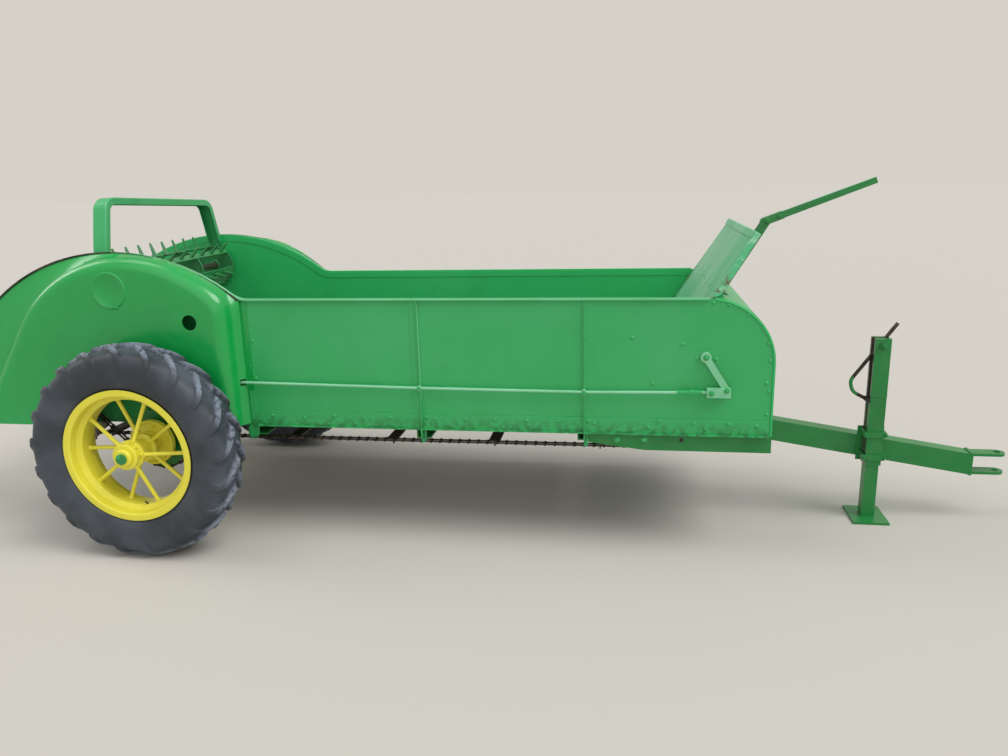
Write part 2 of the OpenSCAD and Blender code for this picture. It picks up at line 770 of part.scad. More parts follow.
// Two-plate lever up through the front sheet, with a jointed grip
module control_lever() {
    knee = [panel_x(top_z + 10) + lever_lead, top_z + 10];
    joint = [panel_x(guard_z + 36) + lever_lead - 6, guard_z + 36];
    grip = joint + [grip_run, grip_rise];
    along = (grip - joint) / norm(grip - joint);
    plate_t = 8;
    between = 14;
    color(paint) {
        for (y = [lever_y - between - plate_t, lever_y + between])
            slab(y, y + plate_t) {
                bar([pivot_x, pivot_z], knee, 15);
                bar(knee, joint, 14);
            }
        slab(lever_y - between - small, lever_y + between + small)
            bar(joint - 10 * along, joint + 60 * along, 13);
        slab(lever_y - 5, lever_y + 5) bar(joint + 30 * along, grip, 15);
        cross_rod(joint[0], joint[1], 9, lever_y - 32, lever_y + 32);
        // cross shaft to the arm outside the right-hand side
        cross_rod(pivot_x, pivot_z, 12, -(side_y + rib_t + 9), lever_y + 40);
    }
}

// Flat bar with round ends between two points of the x-z plane, r is half its width
module bar(a, b, r) {
    d = b - a;
    len = norm(d);
    translate(a) circle(r = r, $fn = 32);
    translate(b) circle(r = r, $fn = 32);
    translate(a) rotate(atan2(d[1], d[0])) translate([0, -r]) square([len, 2 * r]);
}

// Arm on the cross shaft, the rod it pulls and the crank at the rod's rear end
module feed_rod() {
    arm_y = side_y + rib_t;
    arm_t = 8;
    arm_end = [pivot_x + arm_run, rod_z + 12];
    yoke = [arm_run - 74, arm_run + 16];
    rod_line = [[crank_x, rod_rear_z], [sill_x[1] - 2, rod_z], [sill_x[2], rod_z - 6],
        [pivot_x + yoke[0] + 4, rod_z]];
    color(paint) mirror([0, 1, 0]) {
        difference() {
            union() {
                slab(arm_y, arm_y + arm_t) bar([pivot_x, pivot_z], arm_end, 13);
                cross_rod(pivot_x, pivot_z, 20, side_y, arm_y + arm_t);
            }
            cross_rod(pivot_x, pivot_z, 12 + run_gap, side_y - 1, arm_y + arm_t + 1 + small);
        }
        block(pivot_x + yoke[0], pivot_x + yoke[1], arm_y, arm_y + 26, rod_z - 18, rod_z + 18);
        // lengths of the rod, which end inside the guides on the ribs
        for (i = [0 : 2]) let (a = rod_line[i], b = rod_line[i + 1])
            rod_between([a[0] + (i > 0 ? 2 : 0), rod_y, a[1]], [b[0] - (i < 2 ? 2 : 0), rod_y, b[1]], rod_r);
        for (i = [1, 2]) let (p = rod_line[i])
            block(p[0] - 6, p[0] + 6, arm_y, rod_y + rod_r + 3, p[1] - 10, p[1] + 10);
        slab(rod_y - 4, rod_y + 4) bar([crank_x, rod_rear_z], [crank_x, rod_rear_z - crank_drop], 14);
        cross_rod(crank_x, rod_rear_z - crank_drop, 12, side_y, rod_y + 8);
    }
}

// Outer tube, open to the rear, with the pin its crank passes through
module jack_tube() {
    h = jack_w / 2;
    slot = 22;
    collar = jack_low + 310;
    color(paint) difference() {
        union() {
            difference() {
                block(jack_x - h, jack_x + h, jack_y - h, jack_y + h, jack_low, jack_top);
                block(jack_x - h + jack_wall, jack_x + h - jack_wall, jack_y - h + jack_wall,
                    jack_y + h - jack_wall, jack_low - 1, jack_top - jack_wall);
                // open rear face, and the slot it carries on as across the top
                block(jack_x - h - 1, jack_x - h + jack_wall + 1, jack_y - slot, jack_y + slot,
                    jack_low + 150, jack_top + 1);
                block(jack_x - h - 1, jack_x + h - jack_wall, jack_y - slot / 2, jack_y + slot / 2,
                    jack_top - jack_wall - 1, jack_top + 1);
            }
            block(jack_x - h, jack_x + h, jack_y - h - 3, jack_y - h + small, collar, collar + 15);
            cross_rod(jack_pin[0], jack_pin[1], 16, jack_y - h - 8, jack_y + h);
        }
        crank_rod(crank_line[0], crank_line[1], crank_r + seat_gap);
    }
}

// A straight length of the crank in the jack's middle plane
module crank_rod(a, b, r) {
    rod_between([a[0], jack_y, a[1]], [b[0], jack_y, b[1]], r);
}

// Bent crank through the top of the jack
module jack_crank() {
    color(steel) {
        for (i = [0 : 2]) crank_rod(crank_line[i], crank_line[i + 1], crank_r);
        for (i = [1, 2])
            translate([crank_line[i][0], jack_y, crank_line[i][1]]) sphere(r = crank_r + 1, $fn = 24);
        // lug that ties its lower end to the tube
        block(crank_line[3][0] - 6, jack_x - jack_w / 2 - seat_gap, jack_y - 28, jack_y + 28,
            crank_line[3][1] - 9, crank_line[3][1] + 9);
    }
}

// Plates over and under the tongue that clamp the jack to it
module jack_clamp() {
    h = jack_w / 2;
    x0 = jack_x - h - 22;
    x1 = jack_x + h + 22;
    strap_h = 24;
    color(paint) {
        // plate between tongue and jack tube
        block(x0, x1, -tongue_w / 2 - clamp_t, -tongue_w / 2, jack_low + 4, jack_low + tongue_h + 66);
        // straps around the tube and bolts over and under the tongue
        for (z = [jack_low + 25, jack_low + tongue_h + 35]) {
            for (x = [jack_x - h - 12, jack_x + h + 4])
                block(x, x + 8, jack_y - h - 8, -tongue_w / 2 - clamp_t, z, z + strap_h);
            block(jack_x - h - 12, jack_x + h + 12, jack_y - h - 8, jack_y - h, z, z + strap_h);
        }
    }
}

// Inner leg and foot, at rest on the ground
module jack_leg() {
    h = leg_w / 2;
    color(paint) {
        difference() {
            block(jack_x - h, jack_x + h, jack_y - h, jack_y + h, foot_t - small, leg_top);
            block(jack_x - h + 5, jack_x + h - 5, jack_y - h + 5, jack_y + h - 5, foot_t + 10, leg_top + 1);
        }
        block(jack_x - foot_w / 2, jack_x + foot_w / 2, jack_y - foot_depth / 2, jack_y + foot_depth / 2,
            0, foot_t);
    }
}

// Rings of half a tyre, from the bead to the tread's middle
// columns: half width and radius of the carcass, half width and radius over a lug, lug's turn in degrees
lug_turn = 360 / lugs;
hw = tyre_w / 2;
bead_lift = 3.2;
tyre_rings = [
    [hw * 0.67, bead_r + bead_lift, hw * 0.67, bead_r + bead_lift, -0.90],
    [hw * 0.95, bead_r + 62, hw * 0.95, bead_r + 62, -0.90],
    [hw, tyre_r - 84, hw, tyre_r - 84, -0.90],
    [hw * 0.95, tyre_r - lug_h - 36, hw * 0.97, tyre_r - 47, -0.90],
    [hw * 0.83, tyre_r - lug_h - 19, hw * 0.885, tyre_r - 29, -0.83],
    [hw * 0.61, tyre_r - lug_h - 7, hw * 0.66, tyre_r - 11, -0.66],
    [hw * 0.34, tyre_r - lug_h - 1, hw * 0.35, tyre_r - 2, -0.40],
    [hw * 0.05, tyre_r - lug_h, hw * 0.05, tyre_r, -0.15]];
plain_rings = 2;
// vertex rows: share of a pitch on a plain ring, share on a lugged ring, 1 on the lug's top
lug_steps = [[0, 0, 0], [0.25, 0.05, 1], [0.5, 0.265, 1], [0.75, 0.315, 0]];

function ring_points(row, s, plain, stagger) =
    [for (i = [0 : lugs - 1]) for (k = lug_steps)
        let (a = (i + k[plain ? 0 : 1] + row[4] + stagger) * lug_turn,
            y = s * (k[2] > 0 && !plain ? row[2] : row[0]),
            r = k[2] > 0 && !plain ? row[3] : row[1])
        [r * sin(a), y, -r * cos(a)]];

module tyre(s) {
    n = lugs * 4;
    half = len(tyre_rings);
    outer = [for (j = [0 : half - 1]) ring_points(tyre_rings[j], 1, j < plain_rings, 0)];
    inner = [for (j = [half - 1 : -1 : 0]) ring_points(tyre_rings[j], -1, j < plain_rings, 0.5)];
    shift = [for (ring = inner) [for (i = [0 : n - 1]) ring[(i + n - 2) % n]]];
    rings = concat(outer, shift);
    m = len(rings);
    faces = [for (j = [0 : m - 1]) for (i = [0 : n - 1])
        let (a = j * n + i, b = j * n + (i + 1) % n, up = ((j + 1) % m - j) * n)
        each [[a, b, a + up], [b, b + up, a + up]]];
    color(rubber) on_side(s) translate([0, track_y, axle_z])
        polyhedron(points = [for (r = rings) each r], faces = faces);
}

// Rim section: points are radius and sideways place
rim_half = 85;
flange_h = 26;
module rim_section() {
    b = bead_r;
    top = b + flange_h;
    polygon([[top, rim_half], [top, rim_half - 5], [b + 4, rim_half - 9], [b, 52], [b - 20, 40],
        [b - 20, -40], [b, -52], [b + 4, -rim_half + 9], [top, -rim_half + 5], [top, -rim_half],
        [b - 3, -rim_half], [b - 7, -48], [b - 27, -36], [b - 27, 36], [b - 7, 48], [b - 3, rim_half]]);
}

// Rim, round spokes and hub, as one weldment
module wheel(s) {
    flange = [60, 12];
    spoke_root = hub_r + 4;
    spoke_tip = bead_r - 24;
    color(yellow) on_side(s) difference() {
        union() {
            translate([0, track_y, axle_z]) rotate([-90, 0, 0]) rotate_extrude($fn = 96) rim_section();
            cross_rod(0, axle_z, hub_r, hub_in, hub_out);
            cross_rod(0, axle_z, hub_r + 12, hub_out - 12, hub_out);
            for (y = [45, -45])
                cross_rod(0, axle_z, flange[0], track_y + y, track_y + y + flange[1]);
            // columns of a spoke: side, place on its hub flange, place in the rim
            for (i = [0 : spokes - 1]) {
                a = i * 360 / spokes;
                y = i % 2 == 0 ? [51, 12] : [-39, -12];
                rod_between([spoke_root * cos(a), track_y + y[0], axle_z + spoke_root * sin(a)],
                    [spoke_tip * cos(a), track_y + y[1], axle_z + spoke_tip * sin(a)], spoke_d / 2);
            }
        }
        cross_rod(0, axle_z, axle_r + run_gap, hub_in - 1, hub_out + 1);
    }
}

// Drum that houses the pawls, at the hub's inner end
module ratchet(s) {
    color(yellow) on_side(s) difference() {
        union() {
            cross_rod(0, axle_z, drum_r, ratchet_in, hub_in - 6);
            cross_rod(0, axle_z, drum_r - 14, ratchet_in, hub_in);
        }
        cross_rod(0, axle_z, axle_r + run_gap, ratchet_in - 1, hub_in + 1);
    }
}

module axle() {
    color(steel) both_sides() {
        cross_rod(0, axle_z, axle_r, -small, hub_out + 26);
        cross_rod(0, axle_z, axle_r + 8, hub_out + 0.4, hub_out + 18, 6);
        cross_rod(0, axle_z, axle_r + 12, ratchet_in - 12, ratchet_in - 2);
    }
}

module axle_sprocket() {
    color(paint_dark) sprocket(0, -drive_plane, axle_z, axle_teeth, axle_r);
}

// Reel: bars with teeth on discs, on hubs at both ends
module reel(x, z, sweep, bar_r, bars, turn) {
    end_y = inner_y - 22;
    disc_t = 6;
    bar_t = 8;
    bar_w = 32;
    tooth_w = 26;
    tooth_t = 8;
    end_gap = 30;
    pitch = 2 * (end_y - end_gap) / bar_teeth;
    color(paint_dark) difference() {
        translate([x, 0, z]) union() {
            for (y = [-end_y, -end_y / 3, end_y / 3, end_y])
                cross_rod(0, 0, bar_r - 2, y - disc_t / 2, y + disc_t / 2);
            for (y = [-end_y, end_y])
                cross_rod(0, 0, shaft_r + 14, y - 14, y + 14);
            for (i = [0 : bars - 1]) rotate([0, turn + i * 360 / bars, 0]) {
                block(bar_r - bar_t, bar_r, -end_y - disc_t / 2, end_y + disc_t / 2, -bar_w / 2, bar_w / 2);
                for (j = [0 : bar_teeth - 1]) {
                    y = -end_y + end_gap + (j + (i % 2) / 2) * pitch;
                    block(bar_r - bar_t / 2, sweep - 1, y, y + tooth_w, -tooth_t / 2, tooth_t / 2);
                }
            }
        }
        cross_rod(x, z, shaft_r, -side_y, side_y);
    }
}

module main_beater() {
    reel(main_x, main_z, main_r, main_r - main_tooth, 6, 0);
}

module upper_beater() {
    reel(upper_x, upper_z, upper_r, upper_r - upper_tooth, 6, 12);
}

module rotor_shaft(x, z, y0, y1) {
    color(steel) cross_rod(x, z, shaft_r, y0, y1);
}

// Screw ribbon of one turn from y0 to y1, between two radii; sections are r0, r1, r1, r0
function ribbon_section(r0, r1, y, a, thick) =
    [[r0 * cos(a), y, r0 * sin(a)], [r1 * cos(a), y, r1 * sin(a)],
        [r1 * cos(a), y + thick, r1 * sin(a)], [r0 * cos(a), y + thick, r0 * sin(a)]];
module ribbon(r0, r1, y0, y1, a0, steps) {
    thick = 5;
    pts = [for (i = [0 : steps]) each ribbon_section(r0, r1, y0 + (y1 - y0 - thick) * i / steps,
        a0 + 360 * i / steps, thick)];
    n = 4 * steps;
    faces = concat([[0, 1, 2], [0, 2, 3], [n, n + 2, n + 1], [n, n + 3, n + 2]],
        [for (i = [0 : steps - 1]) for (k = [0 : 3])
            let (a = 4 * i + k, b = 4 * i + (k + 1) % 4, c = b + 4, d = a + 4)
            each [[a, c, b], [a, d, c]]]);
    polyhedron(points = pts, faces = faces);
}

// Two opposite-handed ribbons carried on arms
module spreader_blades() {
    end_y = inner_y - 20;
    mid_gap = 12;
    ribbon_in = 90;
    color(paint) difference() {
        translate([spread_x, 0, spread_z]) both_sides() {
            ribbon(ribbon_in, spread_r, mid_gap, end_y, 180, 24);
            for (k = [0.04, 0.27, 0.5, 0.73, 0.96]) {
                y = mid_gap + (end_y - mid_gap) * k;
                rotate([0, -(180 + 360 * k), 0]) translate([0, y - 6, -12])
                    cube([ribbon_in + 50, 12, 24]);
                cross_rod(0, 0, shaft_r + 10, y - 12, y + 12);
            }
        }
        cross_rod(spread_x, spread_z, shaft_r, -side_y, side_y);
    }
}

module main_sprockets() {
    color(paint_dark) {
        sprocket(main_x, -drive_plane, main_z, main_teeth, shaft_r);
        sprocket(main_x, upper_plane, main_z, upper_drive_teeth, shaft_r);
        sprocket(main_x, spread_plane, main_z, spread_drive_teeth, shaft_r);
    }
}

module upper_sprocket() {
    color(paint_dark) sprocket(upper_x, upper_plane, upper_z, upper_teeth, shaft_r);
}

module spreader_sprocket() {
    color(paint_dark) sprocket(spread_x, spread_plane, spread_z, spread_teeth, shaft_r);
}

module main_shaft() {
    rotor_shaft(main_x, main_z, -(drive_plane + 14), upper_plane + 14);
}

module upper_shaft() {
    rotor_shaft(upper_x, upper_z, -(side_y + 20), upper_plane + 14);
}

module spreader_shaft() {
    rotor_shaft(spread_x, spread_z, -(side_y + 20), spread_plane + 14);
}

placed() on_side(-1) side();  // side_right
placed() on_side(1) side();  // side_left
placed() floor_boards();
placed() front_skin();
placed() front_panel();
placed() cross_sills();
placed() front_frame();
placed() rear_arch();
placed() on_side(-1) shield();  // shield_right
placed() on_side(1) shield();  // shield_left
placed() shaft_hangers();
placed() rotor_bearings();
placed() apron_chain();
placed() apron_shafts();
placed() drive_chains();
placed() control_lever();
placed() feed_rod();
placed() tongue();
placed() hitch_clevis();
placed() jack_tube();
placed() jack_crank();
placed() jack_clamp();
placed() jack_leg();
placed() tyre(-1);  // tyre_right
placed() wheel(-1);  // wheel_right
placed() ratchet(-1);  // ratchet_right
placed() tyre(1);  // tyre_left
placed() wheel(1);  // wheel_left
placed() ratchet(1);  // ratchet_left
placed() axle();
placed() axle_sprocket();
placed() main_shaft();
placed() main_beater();
placed() main_sprockets();
placed() upper_shaft();
placed() upper_beater();
placed() upper_sprocket();
placed() spreader_shaft();
placed() spreader_blades();
placed() spreader_sprocket();
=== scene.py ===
# %% [markdown]
# # A two-wheel manure spreader, painted and worn
# The CAD gives every solid its place. This lesson dresses those solids: it gives each one the finish
# of the real material, and it remakes the pieces whose pressed, moulded or bent shape a plain solid
# can't show. Each step says what the piece is, how it could be made and why this way was chosen.

import math
import random

import bmesh
import bpy
import numpy as np
from mathutils import Matrix, Vector


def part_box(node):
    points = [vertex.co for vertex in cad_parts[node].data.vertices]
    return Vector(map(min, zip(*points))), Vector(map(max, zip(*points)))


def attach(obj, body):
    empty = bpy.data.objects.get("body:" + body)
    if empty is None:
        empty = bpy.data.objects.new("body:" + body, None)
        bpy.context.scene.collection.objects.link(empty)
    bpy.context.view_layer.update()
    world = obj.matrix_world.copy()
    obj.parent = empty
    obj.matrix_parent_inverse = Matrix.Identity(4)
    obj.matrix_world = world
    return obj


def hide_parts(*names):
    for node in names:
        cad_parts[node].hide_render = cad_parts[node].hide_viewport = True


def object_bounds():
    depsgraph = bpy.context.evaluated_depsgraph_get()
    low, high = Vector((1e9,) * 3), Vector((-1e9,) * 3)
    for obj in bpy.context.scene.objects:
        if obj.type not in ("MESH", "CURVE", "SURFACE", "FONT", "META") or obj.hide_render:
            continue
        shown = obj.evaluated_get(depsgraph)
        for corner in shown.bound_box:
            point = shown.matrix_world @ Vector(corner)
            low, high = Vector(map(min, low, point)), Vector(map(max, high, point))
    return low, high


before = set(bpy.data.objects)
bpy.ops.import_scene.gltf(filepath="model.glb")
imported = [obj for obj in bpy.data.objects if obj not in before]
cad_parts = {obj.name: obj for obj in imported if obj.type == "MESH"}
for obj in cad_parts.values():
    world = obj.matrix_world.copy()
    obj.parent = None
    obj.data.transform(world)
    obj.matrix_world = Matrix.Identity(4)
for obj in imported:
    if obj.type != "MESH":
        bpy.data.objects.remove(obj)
cad_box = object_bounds()
print("CAD box in metres:", [round(x, 3) for corner in cad_box for x in corner])

# %% [markdown]
# ## One way to write sizes
# The part's source counts millimetres from the ground under the wheel axle, +X forward, +Y to the
# left. Blender works in metres about the middle of the machine. Every piece here is written in the
# source's millimetres, and one shift turns them into the frame's metres, so that a size read in one
# file is the same number in the other. A pair is a place in x and z, seen from the side.

# %% Places that many pieces share
low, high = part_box("axle")
AXLE_X = (low.x + high.x) / 2
AXLE, TRACK = (0, 453), 730
# a side sheet's outer and inner face, its top edge, and the top of the floor
SIDE, INNER, TOP, FLOOR = 495, 491, 1050, 565
# the round of the hump, and of the hollow ahead of it
HUMP, HUMP_R = (-165, 365), 885
HOLLOW, HOLLOW_R = (433.3, 1160), 110
# the shafts of the main beater, the upper beater and the distributor
MAIN, UPPER, SPREAD = (-449.6, 800), (-215, 1090), (-880, 720)
APRON_Z, APRON_R, APRON_REAR, APRON_FRONT = 493, 78, -420, 2040
LEVER_Y = -300
print("axle stands at x =", round(AXLE_X, 4), "m in the frame")

# %% [markdown]
# ## The photograph's camera
# A camera could be moved by eye until the picture fits. Here it was solved instead, from the straight
# edges of the box, the ribs and the circle of the rim, which gives its place, its three turns and its
# focal length. The image is 1008 by 756 pixels, and a 36 mm sensor turns pixels into a lens length.

# %% Camera
CAMERA_AT = Vector((0.7386, -3.6226, 1.5206))
YAW, PITCH, ROLL = -0.1602, 0.2466, -0.0262
FOCAL_PIXELS, IMAGE_WIDTH, SENSOR = 803.35, 1008, 36.0


def turned_camera():
    """The camera's own axes: right, up and back, as the columns of a turn."""
    ahead = Vector((math.sin(YAW) * math.cos(PITCH), math.cos(YAW) * math.cos(PITCH), -math.sin(PITCH)))
    right = Vector((math.cos(YAW), -math.sin(YAW), 0))
    up = right.cross(ahead)
    rolled_right = math.cos(ROLL) * right + math.sin(ROLL) * up
    rolled_up = -math.sin(ROLL) * right + math.cos(ROLL) * up
    return Matrix((rolled_right, rolled_up, -ahead)).transposed()


camera = bpy.data.objects.new("camera", bpy.data.cameras.new("camera"))
bpy.context.scene.collection.objects.link(camera)
camera.matrix_world = Matrix.Translation(CAMERA_AT) @ turned_camera().to_4x4()
camera.data.sensor_width = SENSOR
camera.data.lens = FOCAL_PIXELS / IMAGE_WIDTH * SENSOR
camera.data.clip_end = 200
bpy.context.scene.camera = camera
print("lens:", round(camera.data.lens, 2), "mm")

# %% [markdown]
# ## Colours and nodes
# Paint charts give colours as sRGB hex values, and Blender's shaders want linear light. One function
# turns one into the other. A second small function adds any node, sets its properties, and fills each
# input with a value or with a link, so a whole material reads as a list. Three more name what every
# finish here does: lay a colour over another in patches, raise waves and grain, and end in a surface.


# %% Colour and node helpers
def linear(code):
    """A linear RGBA colour from an sRGB hex value."""
    parts = [int(code[i : i + 2], 16) / 255 for i in (1, 3, 5)]
    return tuple(c / 12.92 if c <= 0.04045 else ((c + 0.055) / 1.055) ** 2.4 for c in parts) + (1.0,)


def add(tree, kind, inputs=None, **settings):
    """Adds one node with its settings. An input's value is a number, a colour or another node's output."""
    node = tree.nodes.new("ShaderNode" + kind)
    for name, value in settings.items():
        setattr(node, name, value)
    for name, value in (inputs or {}).items():
        if isinstance(value, bpy.types.NodeSocket):
            tree.links.new(value, node.inputs[name])
        else:
            node.inputs[name].default_value = value
    return node


def blank(name):
    """A new material's empty node tree, and the material."""
    material = bpy.data.materials.new(name)
    material.use_nodes = True
    material.node_tree.nodes.clear()
    return material, material.node_tree


def per_mm(size):
    """The scale that makes a texture's features about that many millimetres."""
    return 1000.0 / size


def layer(tree, place, under, over, size, low=0.4, high=0.6, most=1.0, detail=3.0):
    """
    A colour laid over another in noise patches of that many millimetres.

    It is clear where the noise is below low and as strong as most where it is above high. Gives the new
    colour and the patches as a mask.
    """
    noise = add(tree, "TexNoise", {"Vector": place, "Scale": per_mm(size), "Detail": detail})
    reach = {"Value": noise.outputs["Fac"], "From Min": low, "From Max": high, "To Max": most}
    mask = add(tree, "MapRange", reach, interpolation_type="SMOOTHSTEP").outputs["Result"]
    both = add(tree, "Mix", {0: mask, 6: under, 7: linear(over)}, data_type="RGBA")
    return both.outputs[2], mask


def surface(tree, colour, roughness, normal, ior, metal=0.0):
    """The material's shader and output."""
    inputs = {"Base Color": colour, "Roughness": roughness, "Normal": normal, "IOR": ior, "Metallic": metal}
    shader = add(tree, "BsdfPrincipled", inputs)
    add(tree, "OutputMaterial", {"Surface": shader.outputs[0]})


def relief(tree, place, coarse, fine):
    """Waves and grain on a surface. Each is its size, its depth and its strength, sizes in millimetres."""
    normal = None
    for size, depth, strength in (coarse, fine):
        noise = add(tree, "TexNoise", {"Vector": place, "Scale": per_mm(size), "Detail": 3.0})
        inputs = {"Height": noise.outputs["Fac"], "Distance": depth / 1000, "Strength": strength}
        if normal:
            inputs["Normal"] = normal
        normal = add(tree, "Bump", inputs).outputs[0]
    return normal


print("mid grey in linear light:", round(linear("#808080")[0], 3))

# %% [markdown]
# ## Alkyd enamel on sheet steel
# The box is sheet steel sprayed with an alkyd enamel. It is smooth but not flat: a faint orange peel
# some 4 mm across breaks up its reflections, the sun has chalked broad patches paler, and a few specks
# of paint are gone. Where loads slide, fine scratches run one way. Paint is a dielectric, so metallic
# stays 0. A picture of paint could be used, but a few noise patterns at real sizes follow any shape.


# %% Enamel
def enamel(name, paint, chalked, deep, gloss, chalk=0.35, dust=0.0, scratches=None, stain=None, ior=1.45):
    """Paint with chalked and deep patches. scratches is a scratch's size in mm, stain a colour and a mask."""
    material, tree = blank(name)
    place = add(tree, "TexCoord").outputs["Object"]
    # chalk in patches of 480 mm and deeper colour in patches of 160 mm
    colour, _ = layer(tree, place, linear(paint), chalked, 480, 0.4, 0.7, chalk)
    colour, _ = layer(tree, place, colour, deep, 160, 0.45, 0.75, 0.35)
    if scratches:
        scale = [per_mm(length) for length in scratches]
        along = add(tree, "Mapping", {"Vector": place, "Scale": scale}).outputs[0]
        colour, _ = layer(tree, along, colour, chalked, 1000, 0.48, 0.66, 0.75, 5)
    colour, powder = layer(tree, place, colour, "#8f8a76", 70, 0.45, 0.7, dust, 5)
    if stain:
        shade, where = stain
        colour, _ = layer(tree, place, colour, shade, 26, 0.42, 0.58, where(tree, place), 5)
    # specks of lost paint, each a few millimetres across, and only inside wide patches
    _, here = layer(tree, place, colour, paint, 240, 0.5, 0.6)
    colour, _ = layer(tree, place, colour, "#6f9a78", 9, 0.75, 0.77, here, 2)
    rough = add(tree, "MapRange", {"Value": powder, "To Min": gloss, "To Max": 0.8}).outputs[0]
    surface(tree, colour, rough, relief(tree, place, (260, 4, 0.3), (4, 0.2, 0.25)), ior)
    return material


# %% [markdown]
# ## Stains, and one enamel for each part
# Rust and dried dirt keep to their places: the guard's folded edge, where water stands, and the foot of
# the box. A mask could be painted by hand. Here it is worked out from the height and the distance from
# the middle, so it needs no picture. Each sheet has faded in its own way, so each has its own enamel.
# Three enamels are painted light rather than paint of their own: a pale one paints the highlight on the
# sides' lips and the feed rod, a brighter green paints light onto the sides' inner faces and lips, and a
# pale grip enamel paints the highlight along the grip's top.


# %% Stains and enamels
def fold_foot(tree, place):
    """Where the guard's folded edge meets the box: water stands there and the paint has rusted."""
    parts = add(tree, "SeparateXYZ", {"Vector": place})
    across = add(tree, "Math", {0: parts.outputs["Y"]}, operation="ABSOLUTE").outputs[0]
    edge = add(tree, "MapRange", {"Value": across, "From Min": 0.452, "From Max": 0.466}).outputs[0]
    inputs = {"Value": parts.outputs["Z"], "From Min": 1.15, "From Max": 1.1, "To Max": edge}
    return add(tree, "MapRange", inputs).outputs[0]


def lower_edge(tree, place):
    """The foot of the box, where wet dirt dries on the sheet."""
    height = add(tree, "SeparateXYZ", {"Vector": place}).outputs["Z"]
    inputs = {"Value": height, "From Min": 0.56, "From Max": 0.5, "To Max": 0.55}
    return add(tree, "MapRange", inputs).outputs[0]


grime = ("#2b4a30", lower_edge)
box_enamel = enamel("alkyd_enamel_box_green", "#36ab60", "#48b26f", "#2c9f53", 0.34, stain=grime)
# a pale enamel that is a painted highlight: the sides' lips, the lip bead and the feed rod
highlight_enamel = enamel("alkyd_enamel_painted_highlight", "#83cb9d", "#a5d8b8", "#5fb580", 0.38)
shield_enamel = enamel("alkyd_enamel_shield_green", "#0f9f47", "#22a857", "#0d923f", 0.22, 0.3, ior=1.58)
# a brighter green that is painted light: the sides' inner faces, the lip tube and the hem
painted_light_enamel = enamel("alkyd_enamel_green_painted_light", "#2cb964", "#3cc075", "#24a955", 0.4)
rust = ("#5f5236", fold_foot)
guard_enamel = enamel(
    "alkyd_enamel_scuffed_green", "#4fb179", "#9fd0b0", "#3fa067", 0.5, 0.35, 0.05, (240, 10, 240), rust
)
arch_enamel = enamel("alkyd_enamel_arch_green", "#38a561", "#50b076", "#2e9456", 0.36)
beater_enamel = enamel("alkyd_enamel_beater_green", "#2c8a4c", "#8fae97", "#1f7239", 0.45, 0.3, 0.1)
# a pale enamel that is a painted highlight along the grip's top
grip_highlight_enamel = enamel("alkyd_enamel_grip_painted_highlight", "#9fc4ae", "#c4dccb", "#5fae80", 0.4, 0.6)
frame_enamel = enamel("alkyd_enamel_frame_green", "#1e7d3a", "#2f8a4a", "#17642d", 0.34, 0.3, 0.05)
wheel_enamel = enamel("alkyd_enamel_wheel_yellow", "#e9df46", "#f0e96c", "#d9cd38", 0.28, 0.3)
print("enamels:", [m.name for m in bpy.data.materials if "enamel" in m.name])

# %% [markdown]
# ## Natural rubber, moulded
# A farm tyre comes out of its mould dark and a little shiny, and oxidises to a blue-grey. The lugs
# carry the yard's dust on their tops, and the colour there is also a painted highlight, so it pales to
# a blue-grey with the distance from the axle. Distance could be painted by hand on each tyre. Measured
# from the axle by the material, it follows the wheel as it turns.

# %% Tyre rubber
rubber, tree = blank("natural_rubber_moulded")
place = add(tree, "TexCoord").outputs["Object"]
parts = add(tree, "SeparateXYZ", {"Vector": place})
flat = add(tree, "CombineXYZ", {"X": parts.outputs["X"], "Z": parts.outputs["Z"]})
axle_at = (AXLE_X, 0, AXLE[1] / 1000)
from_axle = add(tree, "VectorMath", {0: flat.outputs[0], 1: axle_at}, operation="DISTANCE").outputs["Value"]
# in metres from the axle: where the dust and the painted highlight on the lugs start, and where they are
# strongest
inputs = {"Value": from_axle, "From Min": 0.427, "From Max": 0.449, "To Max": 0.95}
dust_and_highlight = add(tree, "MapRange", inputs, interpolation_type="SMOOTHSTEP").outputs[0]
colour, _ = layer(tree, place, linear("#2b3138"), "#3f4751", 240, 0.35, 0.7, 1.0, 3)
colour, _ = layer(tree, place, colour, "#7f8898", 20, 0.3, 0.55, dust_and_highlight, 6)
colour, _ = layer(tree, place, colour, "#565d66", 150, 0.45, 0.7, 0.35)
surface(tree, colour, 0.58, relief(tree, place, (30, 2, 0.2), (3, 0.5, 0.3)), 1.5)
print("rubber:", rubber.name, "with", len(tree.nodes), "nodes")

# %% [markdown]
# ## Mild steel, bare and oiled
# Chains, shafts and the jack's crank carry no paint where they rub. Mild steel there is dark with old
# oil, brown where rain has reached it, and bright only on worn spots. Oxide is no metal to the eye, so
# metallic drops where the rust is.


# %% Bare steel
def bare_steel(name, dark, bright, rust, rust_share, roughness):
    """Mild steel with rust on that share of it."""
    material, tree = blank(name)
    place = add(tree, "TexCoord").outputs["Object"]
    colour, _ = layer(tree, place, linear(dark), bright, 7)
    colour, rusty = layer(tree, place, colour, rust, 24, 0.62 - rust_share / 2, 0.78 - rust_share / 2, 1.0, 6)
    metal = add(tree, "MapRange", {"Value": rusty, "To Min": 0.75, "To Max": 0.05}).outputs[0]
    surface(tree, colour, roughness, relief(tree, place, (24, 0.4, 0.3), (5, 0.5, 0.5)), 1.5, metal)
    return material


chain_steel = bare_steel("mild_steel_oiled", "#2e2a28", "#4a4642", "#4d3a2e", 0.25, 0.55)
shaft_steel = bare_steel("mild_steel_turned", "#6b6862", "#8a867e", "#6e4d36", 0.15, 0.42)
print("steels:", chain_steel.name, shaft_steel.name)

